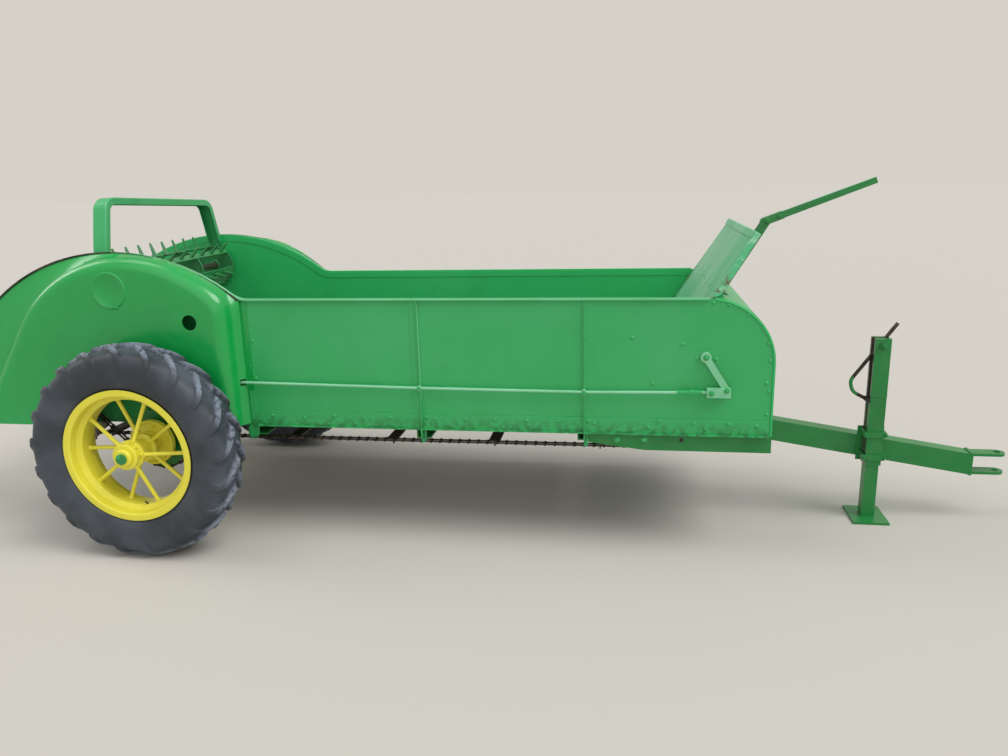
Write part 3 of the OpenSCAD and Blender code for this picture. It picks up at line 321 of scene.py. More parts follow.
# %% [markdown]
# ## Softwood boards, sawn and weathered
# The floor is seven tongued boards that run the length of the box. Sawn pine greys outdoors and shows
# long grain. Each board came from another tree, so a number drawn from the board's place shifts its
# colour. The grain is noise stretched 30 times along the board.

# %% Floor timber
BOARD_COUNT = 7
timber, tree = blank("sawn_pine_weathered")
place = add(tree, "TexCoord").outputs["Object"]
across = add(tree, "SeparateXYZ", {"Vector": place}).outputs["Y"]
board = add(tree, "Math", {0: across, 1: BOARD_COUNT / (2 * INNER / 1000)}, operation="MULTIPLY").outputs[0]
board = add(tree, "Math", {0: board, 1: 0.5}, operation="ADD").outputs[0]
board = add(tree, "Math", {0: board}, operation="FLOOR").outputs[0]
draw = add(tree, "TexWhiteNoise", {"W": board}, noise_dimensions="1D").outputs["Value"]
grain = add(tree, "Mapping", {"Vector": place, "Scale": (per_mm(180), per_mm(6), per_mm(6))}).outputs[0]
shade = add(tree, "Mix", {0: draw, 6: linear("#6f5b45"), 7: linear("#7d7769")}, data_type="RGBA")
colour, _ = layer(tree, grain, shade.outputs[2], "#9c8669", 1000, 0.35, 0.65, 0.8, 6)
colour, _ = layer(tree, place, colour, "#4b3e30", 130, 0.5, 0.7, 0.6, 5)
surface(tree, colour, 0.82, relief(tree, grain, (2400, 2, 0.3), (1000, 1.2, 0.7)), 1.45)
print("materials so far:", len(bpy.data.materials))

# %% [markdown]
# ## Making shapes from rings of points
# Most pressed, bent and moulded parts are rings of points joined one to the next: a bent rod, a rolled
# edge, a wheel's rim, a tyre. Blender's modifiers can do each of them, but a single loft function does
# them all, keeps every size a number, and leaves clean quads. A Shape collects them in millimetres.


# %% Shape and loft
class Shape:
    """Points in millimetres and faces of one piece. A face's part is its place in the list of finishes."""

    def __init__(self):
        self.points, self.faces, self.parts = [], [], []

    def add(self, points, faces, part=0):
        """Takes in points and faces. part is one number, or a list with one for each face."""
        base = len(self.points)
        self.points += [tuple(p) for p in np.asarray(points, float).reshape(-1, 3)]
        self.faces += [tuple(base + int(i) for i in f) for f in faces]
        self.parts += part if isinstance(part, list) else [part] * len(faces)

    def mirrored(self):
        """The same piece on the machine's other side."""
        other = Shape()
        other.add([(x, -y, z) for x, y, z in self.points], [f[::-1] for f in self.faces], self.parts)
        return other

    def join(self, other):
        """Takes in another shape."""
        self.add(other.points, other.faces, other.parts)


def loft(shape, rings, wrap=True, caps=True, loop=False, part=0):
    """Joins rings that all have the same number of points. loop joins the last ring to the first."""
    rings = np.asarray(rings, float)
    rows, count = rings.shape[:2]
    faces = []
    for j in range(rows if loop else rows - 1):
        a, b = j * count, (j + 1) % rows * count
        for i in range(count if wrap else count - 1):
            k = (i + 1) % count
            faces.append((a + i, a + k, b + k, b + i))
    if caps and not loop:
        faces.append(tuple(range(count))[::-1])
        faces.append(tuple(range((rows - 1) * count, rows * count)))
    shape.add(rings, faces, part)


def arc(centre, radius, start, end, steps):
    """Points of an arc in a plane, angles in degrees."""
    turn = np.radians(np.linspace(start, end, steps + 1))
    return np.column_stack([centre[0] + radius * np.cos(turn), centre[1] + radius * np.sin(turn)])


def unit(v):
    """The vector's direction, with length 1."""
    v = np.asarray(v, float)
    return v / np.linalg.norm(v)


def ray(degrees):
    """The direction at that angle from +X towards +Z."""
    turn = math.radians(degrees)
    return np.array([math.cos(turn), 0, math.sin(turn)])


def on_shaft(shaft, y):
    """The point at y on a shaft, or over any other place in x and z."""
    return np.array([shaft[0], y, shaft[1]])


print("a quarter circle in 2 steps:", arc((0, 0), 10, 0, 90, 2).round(1).tolist())

# %% [markdown]
# ## Rods
# A rod is bent cold from a straight bar, so it keeps its thickness round every bend. A ring or a flat
# section is carried along a path without twisting, after the path's corners are rounded. A curve with a
# bevel could do it too, but here each point can have a thickness of its own.


# %% Rods
def bent(path, radius, steps=6, most=0.45):
    """A path with its corners rounded, by at most that share of the legs that meet in each."""
    path = [np.asarray(p, float) for p in path]
    out = [path[0]]
    for before, corner, after in zip(path, path[1:], path[2:]):
        cut = min(radius, np.linalg.norm(before - corner) * most, np.linalg.norm(after - corner) * most)
        a, b = corner + unit(before - corner) * cut, corner + unit(after - corner) * cut
        for t in np.linspace(0, 1, steps + 1):
            out.append((1 - t) ** 2 * a + 2 * t * (1 - t) * corner + t**2 * b)
    return np.array(out + [path[-1]])


def rounded(profile, radius, steps=3):
    """A closed profile with its corners rounded."""
    return bent([profile[-1], *profile, profile[0]], radius, steps, 0.4)[1:-1]


def carried(shape, sections, path, start, part=0):
    """
    A flat section of (sideways, up) pairs carried along a path, or one section for each of its points.

    start is the path's first sideways direction.
    """
    path, sections = np.asarray(path, float), np.asarray(sections, float)
    ahead = np.vstack([path[1] - path[0], path[2:] - path[:-2], path[-1] - path[-2]])
    side = np.asarray(start, float)
    rings = []
    for i, (p, t) in enumerate(zip(path, ahead)):
        t = unit(t)
        side = unit(side - (side @ t) * t)
        section = sections[i] if sections.ndim == 3 else sections
        rings.append(p + section @ np.array([side, np.cross(t, side)]))
    loft(shape, rings, part=part)


def tube(shape, path, radius, sides=14, start=(0, 0, 1), part=0):
    """A ring carried along a path. radius is a number, a pair for an oval, or one number a point."""
    path = np.asarray(path, float)
    if abs(unit(start) @ unit(path[1] - path[0])) > 0.95:
        start = (0, 1, 0)
    pair = (radius, radius) if np.isscalar(radius) else radius
    sizes = [pair] * len(path) if len(pair) == 2 else np.column_stack([pair, pair])
    turn = np.linspace(0, 2 * math.pi, sides, endpoint=False)
    ring = np.column_stack([np.cos(turn), np.sin(turn)])
    carried(shape, [ring * size for size in sizes], path, start, part)


print("a corner rounded by 20 mm:", bent([(0, 0), (90, 0), (90, 90)], 20, 2).round(1).tolist())

# %% [markdown]
# ## Turned parts, plates and bolts
# A turned part is a profile carried round an axis, as on a lathe. A plate is an outline pulled along Y.
# Bolt heads are turned parts too: a carriage bolt's dome has 12 sides, and a hexagon head has 6.


# %% Turned parts, plates and bolts
def turned(shape, profile, centre, axis=(0, 1, 0), steps=48, part=0, closed=False):
    """A profile of (along, radius) pairs turned round an axis through centre."""
    along = unit(axis)
    u = unit(np.cross(along, (0, 0, 1) if abs(along[2]) < 0.9 else (1, 0, 0)))
    v = np.cross(along, u)
    rings = [
        [np.asarray(centre) + a * along + r * (math.cos(t) * u + math.sin(t) * v) for a, r in profile]
        for t in np.linspace(0, 2 * math.pi, steps, endpoint=False)
    ]
    loft(shape, rings, wrap=closed, loop=True, part=part)


def plate(shape, outline, y0, y1, part=0):
    """An outline in x and z pulled from y0 to y1."""
    loft(shape, [[(x, y, z) for x, z in outline] for y in (y0, y1)], part=part)


def block(shape, x0, x1, y0, y1, z0, z1):
    """A box between two values in x, in y and in z."""
    plate(shape, [(x0, z0), (x1, z0), (x1, z1), (x0, z1)], y0, y1)


def carriage_bolt(shape, at, out, radius):
    """A low dome, as a coach bolt's head or a rivet shows."""
    rise = radius * 0.55
    dome = [(rise * 0.3, radius * 0.96), (rise * 0.72, radius * 0.7), (rise, radius * 0.3), (rise, 0)]
    turned(shape, [(-1, radius), *dome], at, out, 12)


def hex_bolt(shape, at, out, radius):
    """A washer, a hexagon head with its chamfer, and the bolt's end."""
    washer = [(-1, radius * 1.35), (2, radius * 1.35), (2, 0)]
    head = [(1, radius), (radius * 0.8, radius), (radius * 0.95, radius * 0.86), (radius * 0.95, 0)]
    end = [(0, 0.5), (1.35, 0.5), (1.45, 0.4), (1.45, 0)]
    turned(shape, washer, at, out, 16)
    turned(shape, head, at, out, 6)
    turned(shape, [(a * radius, r * radius) for a, r in end], at, out, 10)


sample = Shape()
hex_bolt(sample, (0, 0, 0), (0, 1, 0), 10)
print("faces on a hexagon bolt:", len(sample.faces))

# %% [markdown]
# ## From shape to piece
# Blender keeps a mesh and the object that places it apart. This cell makes both, in metres, gives the
# piece its finishes, rounds its hard edges by a real radius with a Bevel modifier, and hands it to the
# body that carries it. Sheet steel's edges are rounded by about half a millimetre to a millimetre. Most
# pieces have a twin on the machine's other side, so a second function makes both from one shape.


# %% Make a piece
def mesh_of(name, shape, finishes=()):
    """A clean mesh in the frame's metres."""
    mesh = bpy.data.meshes.new(name)
    points = np.asarray(shape.points) / 1000 + np.array([AXLE_X, 0, 0])
    mesh.from_pydata(points.tolist(), [], shape.faces)
    for finish in finishes:
        mesh.materials.append(finish)
    mesh.polygons.foreach_set("material_index", shape.parts)
    work = bmesh.new()
    work.from_mesh(mesh)
    bmesh.ops.remove_doubles(work, verts=work.verts, dist=2e-5)
    bmesh.ops.dissolve_degenerate(work, edges=work.edges, dist=1e-6)
    bmesh.ops.recalc_face_normals(work, faces=work.faces)
    work.to_mesh(mesh)
    work.free()
    return mesh


def make(name, shape, finishes, body, slot, replaces=(), bevel=0.0, smooth=35):
    """A piece from a shape, on a body, in place of the CAD nodes named in replaces."""
    mesh = mesh_of(name, shape, finishes if isinstance(finishes, list) else [finishes])
    mesh.shade_smooth()
    mesh.set_sharp_from_angle(angle=math.radians(smooth))
    piece = bpy.data.objects.new(name, mesh)
    bpy.context.scene.collection.objects.link(piece)
    if bevel:
        rounding = piece.modifiers.new("rounded edges", "BEVEL")
        rounding.width, rounding.segments = bevel / 1000, 2
        rounding.limit_method, rounding.angle_limit = "ANGLE", math.radians(40)
    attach(piece, body)
    if replaces:
        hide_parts(*replaces)
    print(f"{name}: {len(mesh.polygons)} faces")
    return piece


def make_pair(stem, shape, finishes, slot, node="", on_wheel=False, **more):
    """The left piece and its mirror image. node starts the names of the CAD nodes that they replace."""
    pieces = []
    for side, half in (("left", shape), ("right", shape.mirrored())):
        body = side + "_wheel" if on_wheel else "frame"
        nodes = [f"{node}_{side}"] if node else ()
        pieces.append(make(f"{stem}_{side}", half, finishes, body, slot, nodes, **more))
    return pieces


# %% [markdown]
# ## Finishes on the CAD solids that stay
# A solid whose shape is right keeps its place and only needs its finish. The list says which finish
# each of them takes. Painted iron under the box is darker than the sheets, as it saw less sun and more
# oil. The feed rod takes the pale enamel, a painted highlight. A few faces take another one: the sides'
# lips the pale enamel as a painted highlight, their inner faces a brighter green as painted light, the
# axle's green ends, and the open rear of the jack's tube.

# %% Finish the carried-over solids
FINISHES = [
    (box_enamel, ["side_right", "side_left"]),
    # the feed rod is pale all over: a painted highlight
    (highlight_enamel, ["feed_rod"]),
    (shaft_steel, ["apron_shafts", "axle", "main_shaft", "upper_shaft", "spreader_shaft"]),
    (frame_enamel, [
        "cross_sills", "front_frame", "shaft_hangers", "rotor_bearings", "tongue", "hitch_clevis",
        "jack_tube", "jack_clamp", "jack_leg", "axle_sprocket", "main_sprockets", "upper_sprocket",
        "spreader_sprocket",
    ]),
]
for finish, nodes in FINISHES:
    for node in nodes:
        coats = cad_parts[node].data.materials
        coats.clear()
        coats.append(finish)


def repaint(node, finish, chosen):
    """Another finish on the faces of a CAD solid that chosen picks by their middle in mm and their normal."""
    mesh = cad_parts[node].data
    mesh.materials.append(finish)
    middle = Vector((AXLE_X * 1000, 0, 0))
    faces = [face for face in mesh.polygons if chosen(face.center * 1000 - middle, face.normal)]
    for face in faces:
        face.material_index = len(mesh.materials) - 1
    print(f"{node}: {len(faces)} faces in {finish.name}")


def on_lip(at, normal):
    """Along the rolled top of a side, outside."""
    on_top = at.z > TOP - 1 or (at.z > 700 and math.dist((at.x, at.z), HUMP) > HUMP_R - 1)
    return on_top and abs(at.y) > SIDE + 0.5 and abs(normal.y) < 0.5


def inside_box(at, normal):
    """On a side's inner face."""
    return abs(at.y) < INNER + 0.5


def axle_end(at, normal):
    """On the axle, outside its collars."""
    return abs(at.y) > 844


def jack_rear(at, normal):
    """On the jack tube's rear and inner faces, which its screw keeps oily."""
    return normal.x < -0.5 or (normal.y < -0.5 and at.y > -70)


for side in ("side_left", "side_right"):
    # painted highlight on the lips' tops, painted light on the inner faces
    repaint(side, highlight_enamel, on_lip)
    repaint(side, painted_light_enamel, inside_box)
repaint("axle", box_enamel, axle_end)
repaint("jack_tube", shaft_steel, jack_rear)

# %% [markdown]
# ## Tyres: a section of rubber with lugs on it
# A farm tyre's tread is bars that start at its middle and sweep round its shoulder, one side half a
# pitch behind the other. It could be one bar copied round a torus, but then the bars only stand on the
# rubber. Here the rubber's own rings carry them: each ring has 12 points a pitch, the points turn with
# the bar, and the ones on the bar rise to its top. The bars' walls stay crisp that way.

# %% Tyres
LUGS = 21
# half width and radius of the rubber up to the shoulder
SIDEWALL = [
    (0, 257.4), (60, 257.4), (67, 257.4), (71, 262), (74, 276), (76, 284), (84, 289), (88, 297), (89, 302),
    (93, 311), (97.2, 330),
]
# half width and radius of the rubber, half width and radius on a bar, swing of the bar in pitches, and
# how far the ring's points are gathered at the bar
TREAD = [
    (99.4, 348, 99.4, 348, -0.75, 0.3),
    (99.9, 362, 99.9, 362, -0.75, 0.6),
    (99.4, 376, 99.4, 376, -0.75, 0.9),
    (98.2, 386, 98.6, 387, -0.75, 1),
    (95.6, 397, 98.2, 402, -0.75, 1),
    (91, 408, 95.2, 414, -0.735, 1),
    (83.5, 417, 88.4, 425, -0.68, 1),
    (72, 424, 77, 436.5, -0.58, 1),
    (58, 428.5, 61, 444.5, -0.45, 1),
    (40, 431.5, 41, 450, -0.27, 1),
    (22, 432.8, 22, 452.3, -0.10, 1),
    (6, 433, 6, 453, 0, 1),
    (3, 433, 3, 434, 0, 0.5),
    (0, 433, 0, 433, 0, 0),
]
# place of a ring's points in a pitch, and how far each stands on the bar
BAR_POINTS = np.array([
    (-0.155, 0), (-0.13, 0.2), (-0.117, 0.82), (-0.1, 1), (-0.035, 1), (0.035, 1),
    (0.1, 1), (0.117, 0.82), (0.13, 0.2), (0.155, 0), (0.385, 0), (0.615, 0),
])
EVEN = np.arange(12) / 12 - 0.155


def tyre_half(stagger):
    """The rings of the left half of a tyre, from the inside of its bead to the tread's middle."""
    rings = []
    plain = [(width, radius, width, radius, -0.75, 0) for width, radius in SIDEWALL]
    for width, radius, bar_width, bar_radius, swing, gather in plain + TREAD:
        phase = EVEN + (BAR_POINTS[:, 0] - EVEN) * gather + swing + stagger
        turn = np.radians(((np.arange(LUGS)[:, None] + phase) * 360 / LUGS).ravel())
        rise = np.tile(BAR_POINTS[:, 1], LUGS)
        r = radius + (bar_radius - radius) * rise
        y = width + (bar_width - width) * rise
        rings.append(np.column_stack([r * np.sin(turn), y, -r * np.cos(turn)]))
    return np.array(rings)


tyre = Shape()
for half, stagger in ((1, 0), (-1, 0.5)):
    loft(tyre, tyre_half(stagger) * [1, half, 1] + on_shaft(AXLE, TRACK), caps=False)
make_pair("lugged_tyre", tyre, rubber, "tyre", "tyre", on_wheel=True, smooth=50)

# %% [markdown]
# ## Spoked wheels
# The wheel is a rolled steel rim, a cast hub, and ten round spokes that lean by turns to the outer and
# the inner flange of the hub, which stiffens the wheel sideways. The rim is one profile turned round
# the axle, its edges rolled over. Each spoke widens at both ends, where it is riveted and welded in.

# %% Wheels
BEAD, FLANGE = 254, 26
HUB_IN, HUB_OUT = 642, 825
RIM_PROFILE = [
    (85, BEAD + FLANGE), (80, BEAD + FLANGE), (76, BEAD + 3), (52, BEAD), (40, BEAD - 20),
    (-40, BEAD - 20), (-52, BEAD), (-76, BEAD + 3), (-80, BEAD + FLANGE), (-85, BEAD + FLANGE),
    (-85, BEAD + 1), (-81, BEAD - 4), (-47, BEAD - 7), (-36, BEAD - 27), (36, BEAD - 27), (47, BEAD - 7),
    (81, BEAD - 4), (85, BEAD + 1),
]
HUB_PROFILE = [
    (HUB_IN, 22.4), (HUB_IN, 42), (682, 42), (685, 60), (697, 60), (701, 43), (768, 40), (772, 60),
    (788, 60), (792, 44), (808, 45), (812, 54), (823, 54), (HUB_OUT, 50), (HUB_OUT, 22.4),
]
SPOKES = 10
# shares of a spoke's length and its radius there
SPOKE_SHARES = np.array([0, 0.03, 0.07, 0.12, 0.5, 0.9, 0.95, 0.98, 1])
SPOKE_RADII = np.array([13, 11.5, 9.4, 8.5, 8.3, 8.5, 9.4, 11.5, 13.5])
wheel = Shape()
turned(wheel, rounded(RIM_PROFILE, 4), on_shaft(AXLE, TRACK), steps=128, closed=True)
turned(wheel, rounded(HUB_PROFILE, 2), on_shaft(AXLE, 0), steps=64, closed=True)
for i in range(SPOKES):
    out = ray(i * 360 / SPOKES)
    root_y, tip_y = (TRACK + 51, TRACK + 12) if i % 2 == 0 else (TRACK - 39, TRACK - 12)
    root = on_shaft(AXLE, root_y) + 46 * out
    tip = on_shaft(AXLE, tip_y) + (BEAD - 25) * out
    tube(wheel, [root - 8 * out, root + 16 * out], 14, 16)
    tube(wheel, root + SPOKE_SHARES[:, None] * (tip - root), SPOKE_RADII, 16)
for turn in (40, 160, 280):
    out = ray(turn)
    hex_bolt(wheel, on_shaft(AXLE, 788) + 50 * out, (0, 1, 0), 6)
    ridge = [on_shaft(AXLE, y) + 40 * out for y in (700, 735, 768)]
    carried(wheel, [(-9, 0), (9, 0), (6, 16), (-6, 16)], ridge, np.cross((0, 1, 0), out))
make_pair("spoked_wheel", wheel, wheel_enamel, "wheel_paint", "wheel", on_wheel=True, bevel=0.8)

# %% [markdown]
# ## Ratchet drums, axle caps and valves
# Inside each wheel a drum houses the pawls that drive the axle. It is a casting with a raised rim and a
# dished face. Outside, a yellow collar holds the wheel and the axle's green end stands through it. A
# tyre valve stands through the rim's well.

# %% Drums, caps and valves
DRUM_PROFILE = [
    (608, 22.4), (608, 90), (611, 98), (633, 98), (637, 95), (637, 88), (630, 84), (628, 66), (630, 52),
    (642, 48), (642, 22.4),
]
drum = Shape()
turned(drum, rounded(DRUM_PROFILE, 2), on_shaft(AXLE, 0), steps=72, closed=True)
for turn in range(15, 375, 60):
    hex_bolt(drum, on_shaft(AXLE, 629) + 75 * ray(turn), (0, 1, 0), 6)
make_pair("ratchet_drum", drum, wheel_enamel, "wheel_paint", "ratchet", on_wheel=True)

collars = Shape()
COLLAR_PROFILE = [(825.6, 22.2), (825.6, 36), (829, 38), (838, 38), (843.4, 33), (843.4, 22.2)]
turned(collars, COLLAR_PROFILE, on_shaft(AXLE, 0), steps=40, closed=True)
collars.join(collars.mirrored())
make("axle_end_caps", collars, wheel_enamel, "drive_axle", "frame_paint")

valve = Shape()
foot = on_shaft(AXLE, TRACK) + [30, 30, 28 - BEAD]
tube(valve, [foot, foot + [0, 5, 8], foot + [0, 14, 15]], np.array([5, 3.5, 3]), 10)
make_pair("tyre_valve", valve, chain_steel, "chain_steel", on_wheel=True)

# %% [markdown]
# ## Box sides: rolled lip and edge strip
# The CAD side is the flat sheet with its ribs and lower band. The real sheet's top edge is rolled over
# a rod, which catches the light as a pale round line all along the top and over the hump. A tube with an
# oval section follows the same line, the straight top, the hollow, then the hump, in a brighter green
# that is painted light, and a thin bead on it in the pale enamel is a painted highlight. Inside, the
# sheet's edge is folded back as a flat hem 27 mm deep, in the same brighter green.

# %% Rolled lips
MEET = math.degrees(math.atan2(HOLLOW[1] - HUMP[1], HOLLOW[0] - HUMP[0]))
REAR_ANGLE = math.degrees(math.acos((-940 - HUMP[0]) / HUMP_R))
FRONT_ARC, FRONT_ARC_R = (2310, 790), 260
HEM_FACES = (INNER, INNER - 2.6, INNER - 2.6, INNER)


def top_line(inset):
    """Points along the top of a side, inset below its edge, from the front to the rear."""
    return np.vstack([
        [(2312, TOP - inset)],
        arc(HOLLOW, HOLLOW_R + inset, -90, MEET - 180, 8),
        arc(HUMP, HUMP_R - inset, MEET, REAR_ANGLE, 64)[1:],
    ])


lip = Shape()
# the lip's tube, the front edge and the hem in the brighter green of painted light
tube(lip, [(x, SIDE + 6, z) for x, z in top_line(5.5)], (6.3, 6.1))
# a bead in the pale enamel: the lip's painted highlight
tube(lip, [(x, SIDE + 7.4, z) for x, z in top_line(4)], (4.4, 5.2), 12, part=1)
front_edge = np.vstack([arc(FRONT_ARC, FRONT_ARC_R - 6, 84, 0, 20), [(2564, 500)]])
tube(lip, [(x, SIDE + 1.5, z) for x, z in front_edge], 3.4, 10)
hem = []
for top, foot in zip(top_line(7), top_line(34)):
    hem.append([on_shaft(place, y) for place, y in zip((top, top, foot, foot), HEM_FACES)])
loft(lip, hem)
make_pair("rolled_edge", lip, [painted_light_enamel, highlight_enamel], "body_paint")

# %% [markdown]
# ## Bolts and rivets of the sides
# They stand where the photograph shows them. Most are coach bolts, which show as low domes outside and
# as nuts inside. The lower channel is held by two hexagon heads. Their places are plain lists, since no
# rule gives them, and one more bolt is one more pair of numbers.

# %% Side bolts
SHEET_BOLTS = [
    (2329, 1030), (2388, 1022), (2460, 985), (2518, 930), (2541, 872), (2549, 805), (2540, 716),
    (2550, 683), (2546, 590), (2217, 868), (2105, 709), (2024, 893), (2275, 811), (2345, 809),
    (437, 870), (437, 707), (1140, 875), (1140, 707), (1859, 875), (1859, 708),
]
BAND_BOLTS = [
    (500, 545), (640, 538), (775, 546), (905, 540), (1020, 545), (1215, 545), (1345, 545), (1470, 545),
    (1600, 545), (1730, 546), (1875, 540), (2094, 527), (2133, 555), (2270, 548), (2313, 524), (2404, 547),
    (2511, 541), (1180, 550), (1852, 548),
]
CHANNEL_BOLTS, CHANNEL_HOLE = [(1969, 474), (2076, 476)], (2223, 476)
bolts = Shape()
for place in SHEET_BOLTS:
    carriage_bolt(bolts, on_shaft(place, SIDE), (0, 1, 0), 8)
for place in BAND_BOLTS:
    carriage_bolt(bolts, on_shaft(place, SIDE + 3), (0, 1, 0), 8.5)
for place in CHANNEL_BOLTS:
    hex_bolt(bolts, on_shaft(place, SIDE), (0, 1, 0), 11)
for place in SHEET_BOLTS[:2] + SHEET_BOLTS[9:]:
    hex_bolt(bolts, on_shaft(place, INNER), (0, -1, 0), 7)
# a thin dark disc in the channel's hole: painted shade for the open hole
turned(bolts, [(-1, 9), (0.4, 9), (0.4, 0)], on_shaft(CHANNEL_HOLE, SIDE), steps=24, part=1)
make_pair("side_bolts", bolts, [box_enamel, chain_steel], "body_paint")

# %% [markdown]
# ## Wheel shields
# A shield is one deep pressing: a flange that lies on the side's edge, a slope outward, a round
# shoulder, and a flat face over the wheel. A press can't make a sharp corner, and the soft shoulder is
# what gives the long highlight. The lines of the flange and of the face are lofted into one another,
# then the flat face closes towards a point low down.

# %% Lines of the shields
SHIELD_SEAT, SHIELD_FACE = 507.4, 600.0
SHIELD_LOW, SHIELD_FRONT, SHIELD_REAR = 510, 400, -800
FACE_CENTRE, FACE_R, FACE_SLOPE = (-70, 619), 617, 58
SHOULDER, CORNER_R = 56, 130
# the angle on the hump's round where the shield's front edge meets it
HUMP_CORNER = math.degrees(math.acos((SHIELD_FRONT - HUMP[0]) / HUMP_R))


def spaced(points, count):
    """The same line with that many points, evenly spaced."""
    points = np.asarray(points, float)
    run = np.r_[0, np.cumsum(np.linalg.norm(np.diff(points, axis=0), axis=1))]
    at = np.linspace(0, run[-1], count)
    return np.column_stack([np.interp(at, run, points[:, i]) for i in (0, 1)])


def shield_line(inset, lip_share):
    """The flange's line where lip_share is 1, the face's line where it is 0."""
    flange = np.vstack([
        spaced([(SHIELD_FRONT, SHIELD_LOW), (SHIELD_FRONT, 1046)], 24),
        arc(HUMP, HUMP_R, HUMP_CORNER, 151, 90)[1:],
    ])
    front = SHIELD_FRONT - 25 - inset
    r, q = FACE_R - inset, CORNER_R - inset
    reach = front - q - FACE_CENTRE[0]
    rise = math.sqrt((r - q) ** 2 - reach**2)
    turn = math.degrees(math.atan2(rise, reach))
    corner_at = (FACE_CENTRE[0] + reach, FACE_CENTRE[1] + rise)
    curve = np.vstack([arc(corner_at, q, 0, turn, 24), arc(FACE_CENTRE, r, turn, 90 + FACE_SLOPE, 60)[1:]])
    end = curve[-1]
    drop = end[1] - SHIELD_LOW
    foot = (end[0] - drop / math.tan(math.radians(FACE_SLOPE)), SHIELD_LOW)
    face = np.vstack([
        spaced([(front, SHIELD_LOW), (front, curve[0][1])], 24),
        spaced(np.vstack([curve, [foot]]), 91)[1:],
    ])
    return flange * lip_share + face * (1 - lip_share)


def shield_surface():
    """Rows of points from the flange over the shoulder to the middle of the face."""
    rows, slope_end = [], SHIELD_FACE - SHOULDER
    for share in np.linspace(0, 1, 5):
        line = shield_line(0, 1 - share)
        rows.append([(x, SHIELD_SEAT + (slope_end - SHIELD_SEAT) * share, z) for x, z in line])
    for turn in np.radians(np.linspace(9, 90, 10)):
        line = shield_line(SHOULDER * (1 - math.cos(turn)), 0)
        rows.append([(x, slope_end + SHOULDER * math.sin(turn), z) for x, z in line])
    rim = np.array(rows[-1])
    heart = np.array([-190, SHIELD_FACE, SHIELD_LOW])
    for share in (0.94, 0.85, 0.7, 0.5, 0.3, 0.12, 0.004):
        rows.append(heart + (rim - heart) * share)
    return np.array([np.asarray(r, float) for r in rows])


outer_face = shield_surface()
print("shield's outer face:", outer_face.shape[0], "rows of", outer_face.shape[1], "points")

# %% [markdown]
# ## Thickness and openings of the shields
# So far the shield is only its outer face. Each point is set back along its own normal, so the steel is
# 4 mm thick round the shoulder too, and a border closes the edge. Then blocks and round bars are taken
# out, as a punch would: the hole, the opening about the axle that shows the wheel and its chain, and the
# feed rod's slot. Two blocks trim the rear and the foot.

# %% Wheel shields
WHEEL_OPENING, HOLE, HOLE_R = 350, (221, 966), 32


def solid_sheet(shape, rows, thickness):
    """A sheet of that thickness: the rows of points are its outer face, and +Y is outward."""
    normal = np.cross(np.gradient(rows, axis=1), np.gradient(rows, axis=0))
    normal /= np.maximum(np.linalg.norm(normal, axis=2), 1e-9)[:, :, None]
    normal *= np.where(normal[:, :, 1:2] < 0, -1, 1)
    at = np.arange(rows[:, :, 0].size).reshape(rows.shape[:2])
    quads = np.stack([at[:-1, :-1], at[:-1, 1:], at[1:, 1:], at[1:, :-1]], axis=-1).reshape(-1, 4)
    faces = [face for quad in quads for face in (quad, quad[::-1] + at.size)]
    border = [*at[0], *at[1:, -1], *at[-1, -2::-1], *at[-2:0:-1, 0]]
    faces += [(b, a, a + at.size, b + at.size) for a, b in zip(border, border[1:] + border[:1])]
    shape.add(np.concatenate([rows, rows - normal * thickness]), faces)


def cut(piece, shapes):
    """Takes shapes out of a piece, and keeps the result as its mesh."""
    for shape in shapes:
        cutter = bpy.data.objects.new("cutter", mesh_of("cutter", shape))
        bpy.context.scene.collection.objects.link(cutter)
        taking = piece.modifiers.new("cut", "BOOLEAN")
        taking.operation, taking.object, taking.solver = "DIFFERENCE", cutter, "EXACT"
        bpy.context.view_layer.update()
        cut_piece = piece.evaluated_get(bpy.context.evaluated_depsgraph_get())
        result = bpy.data.meshes.new_from_object(cut_piece)
        piece.modifiers.remove(taking)
        bpy.data.objects.remove(cutter)
        piece.data = result
    piece.data.set_sharp_from_angle(angle=math.radians(35))
    print(f"{piece.name}: {len(piece.data.polygons)} faces after {len(shapes)} cuts")


shield = Shape()
solid_sheet(shield, outer_face, 4)
rear, below, hole, opening, slot = cutters = [Shape() for _ in range(5)]
block(rear, -1400, SHIELD_REAR, 300, 800, 200, 1500)
block(below, -1500, 600, 300, 800, 100, SHIELD_LOW)
tube(hole, [on_shaft(HOLE, y) for y in (560, 640)], HOLE_R, 48)
tube(opening, [on_shaft(AXLE, y) for y in (540, 640)], WHEEL_OPENING, 120)
block(slot, 340, 420, 480, 533, 681, 709)
left, right = make_pair("wheel_shield", shield, shield_enamel, "body_paint", "shield")
cut(left, cutters)
cut(right, [cutter.mirrored() for cutter in cutters])

# %% [markdown]
# ## What is fixed on the shields
# The shield's face has a round embossed panel with a small turn latch under it, the front edge has a
# folded flange bolted to the side, and the hole is a plain punched one. The emboss is a ring bead of
# less than 4 mm, turned like any round part. Where the shield meets the rolled lip, a thin dark tube of
# oiled steel runs over the hump as a painted shadow of the gap there. Two faint creases in the face are
# thin beads.

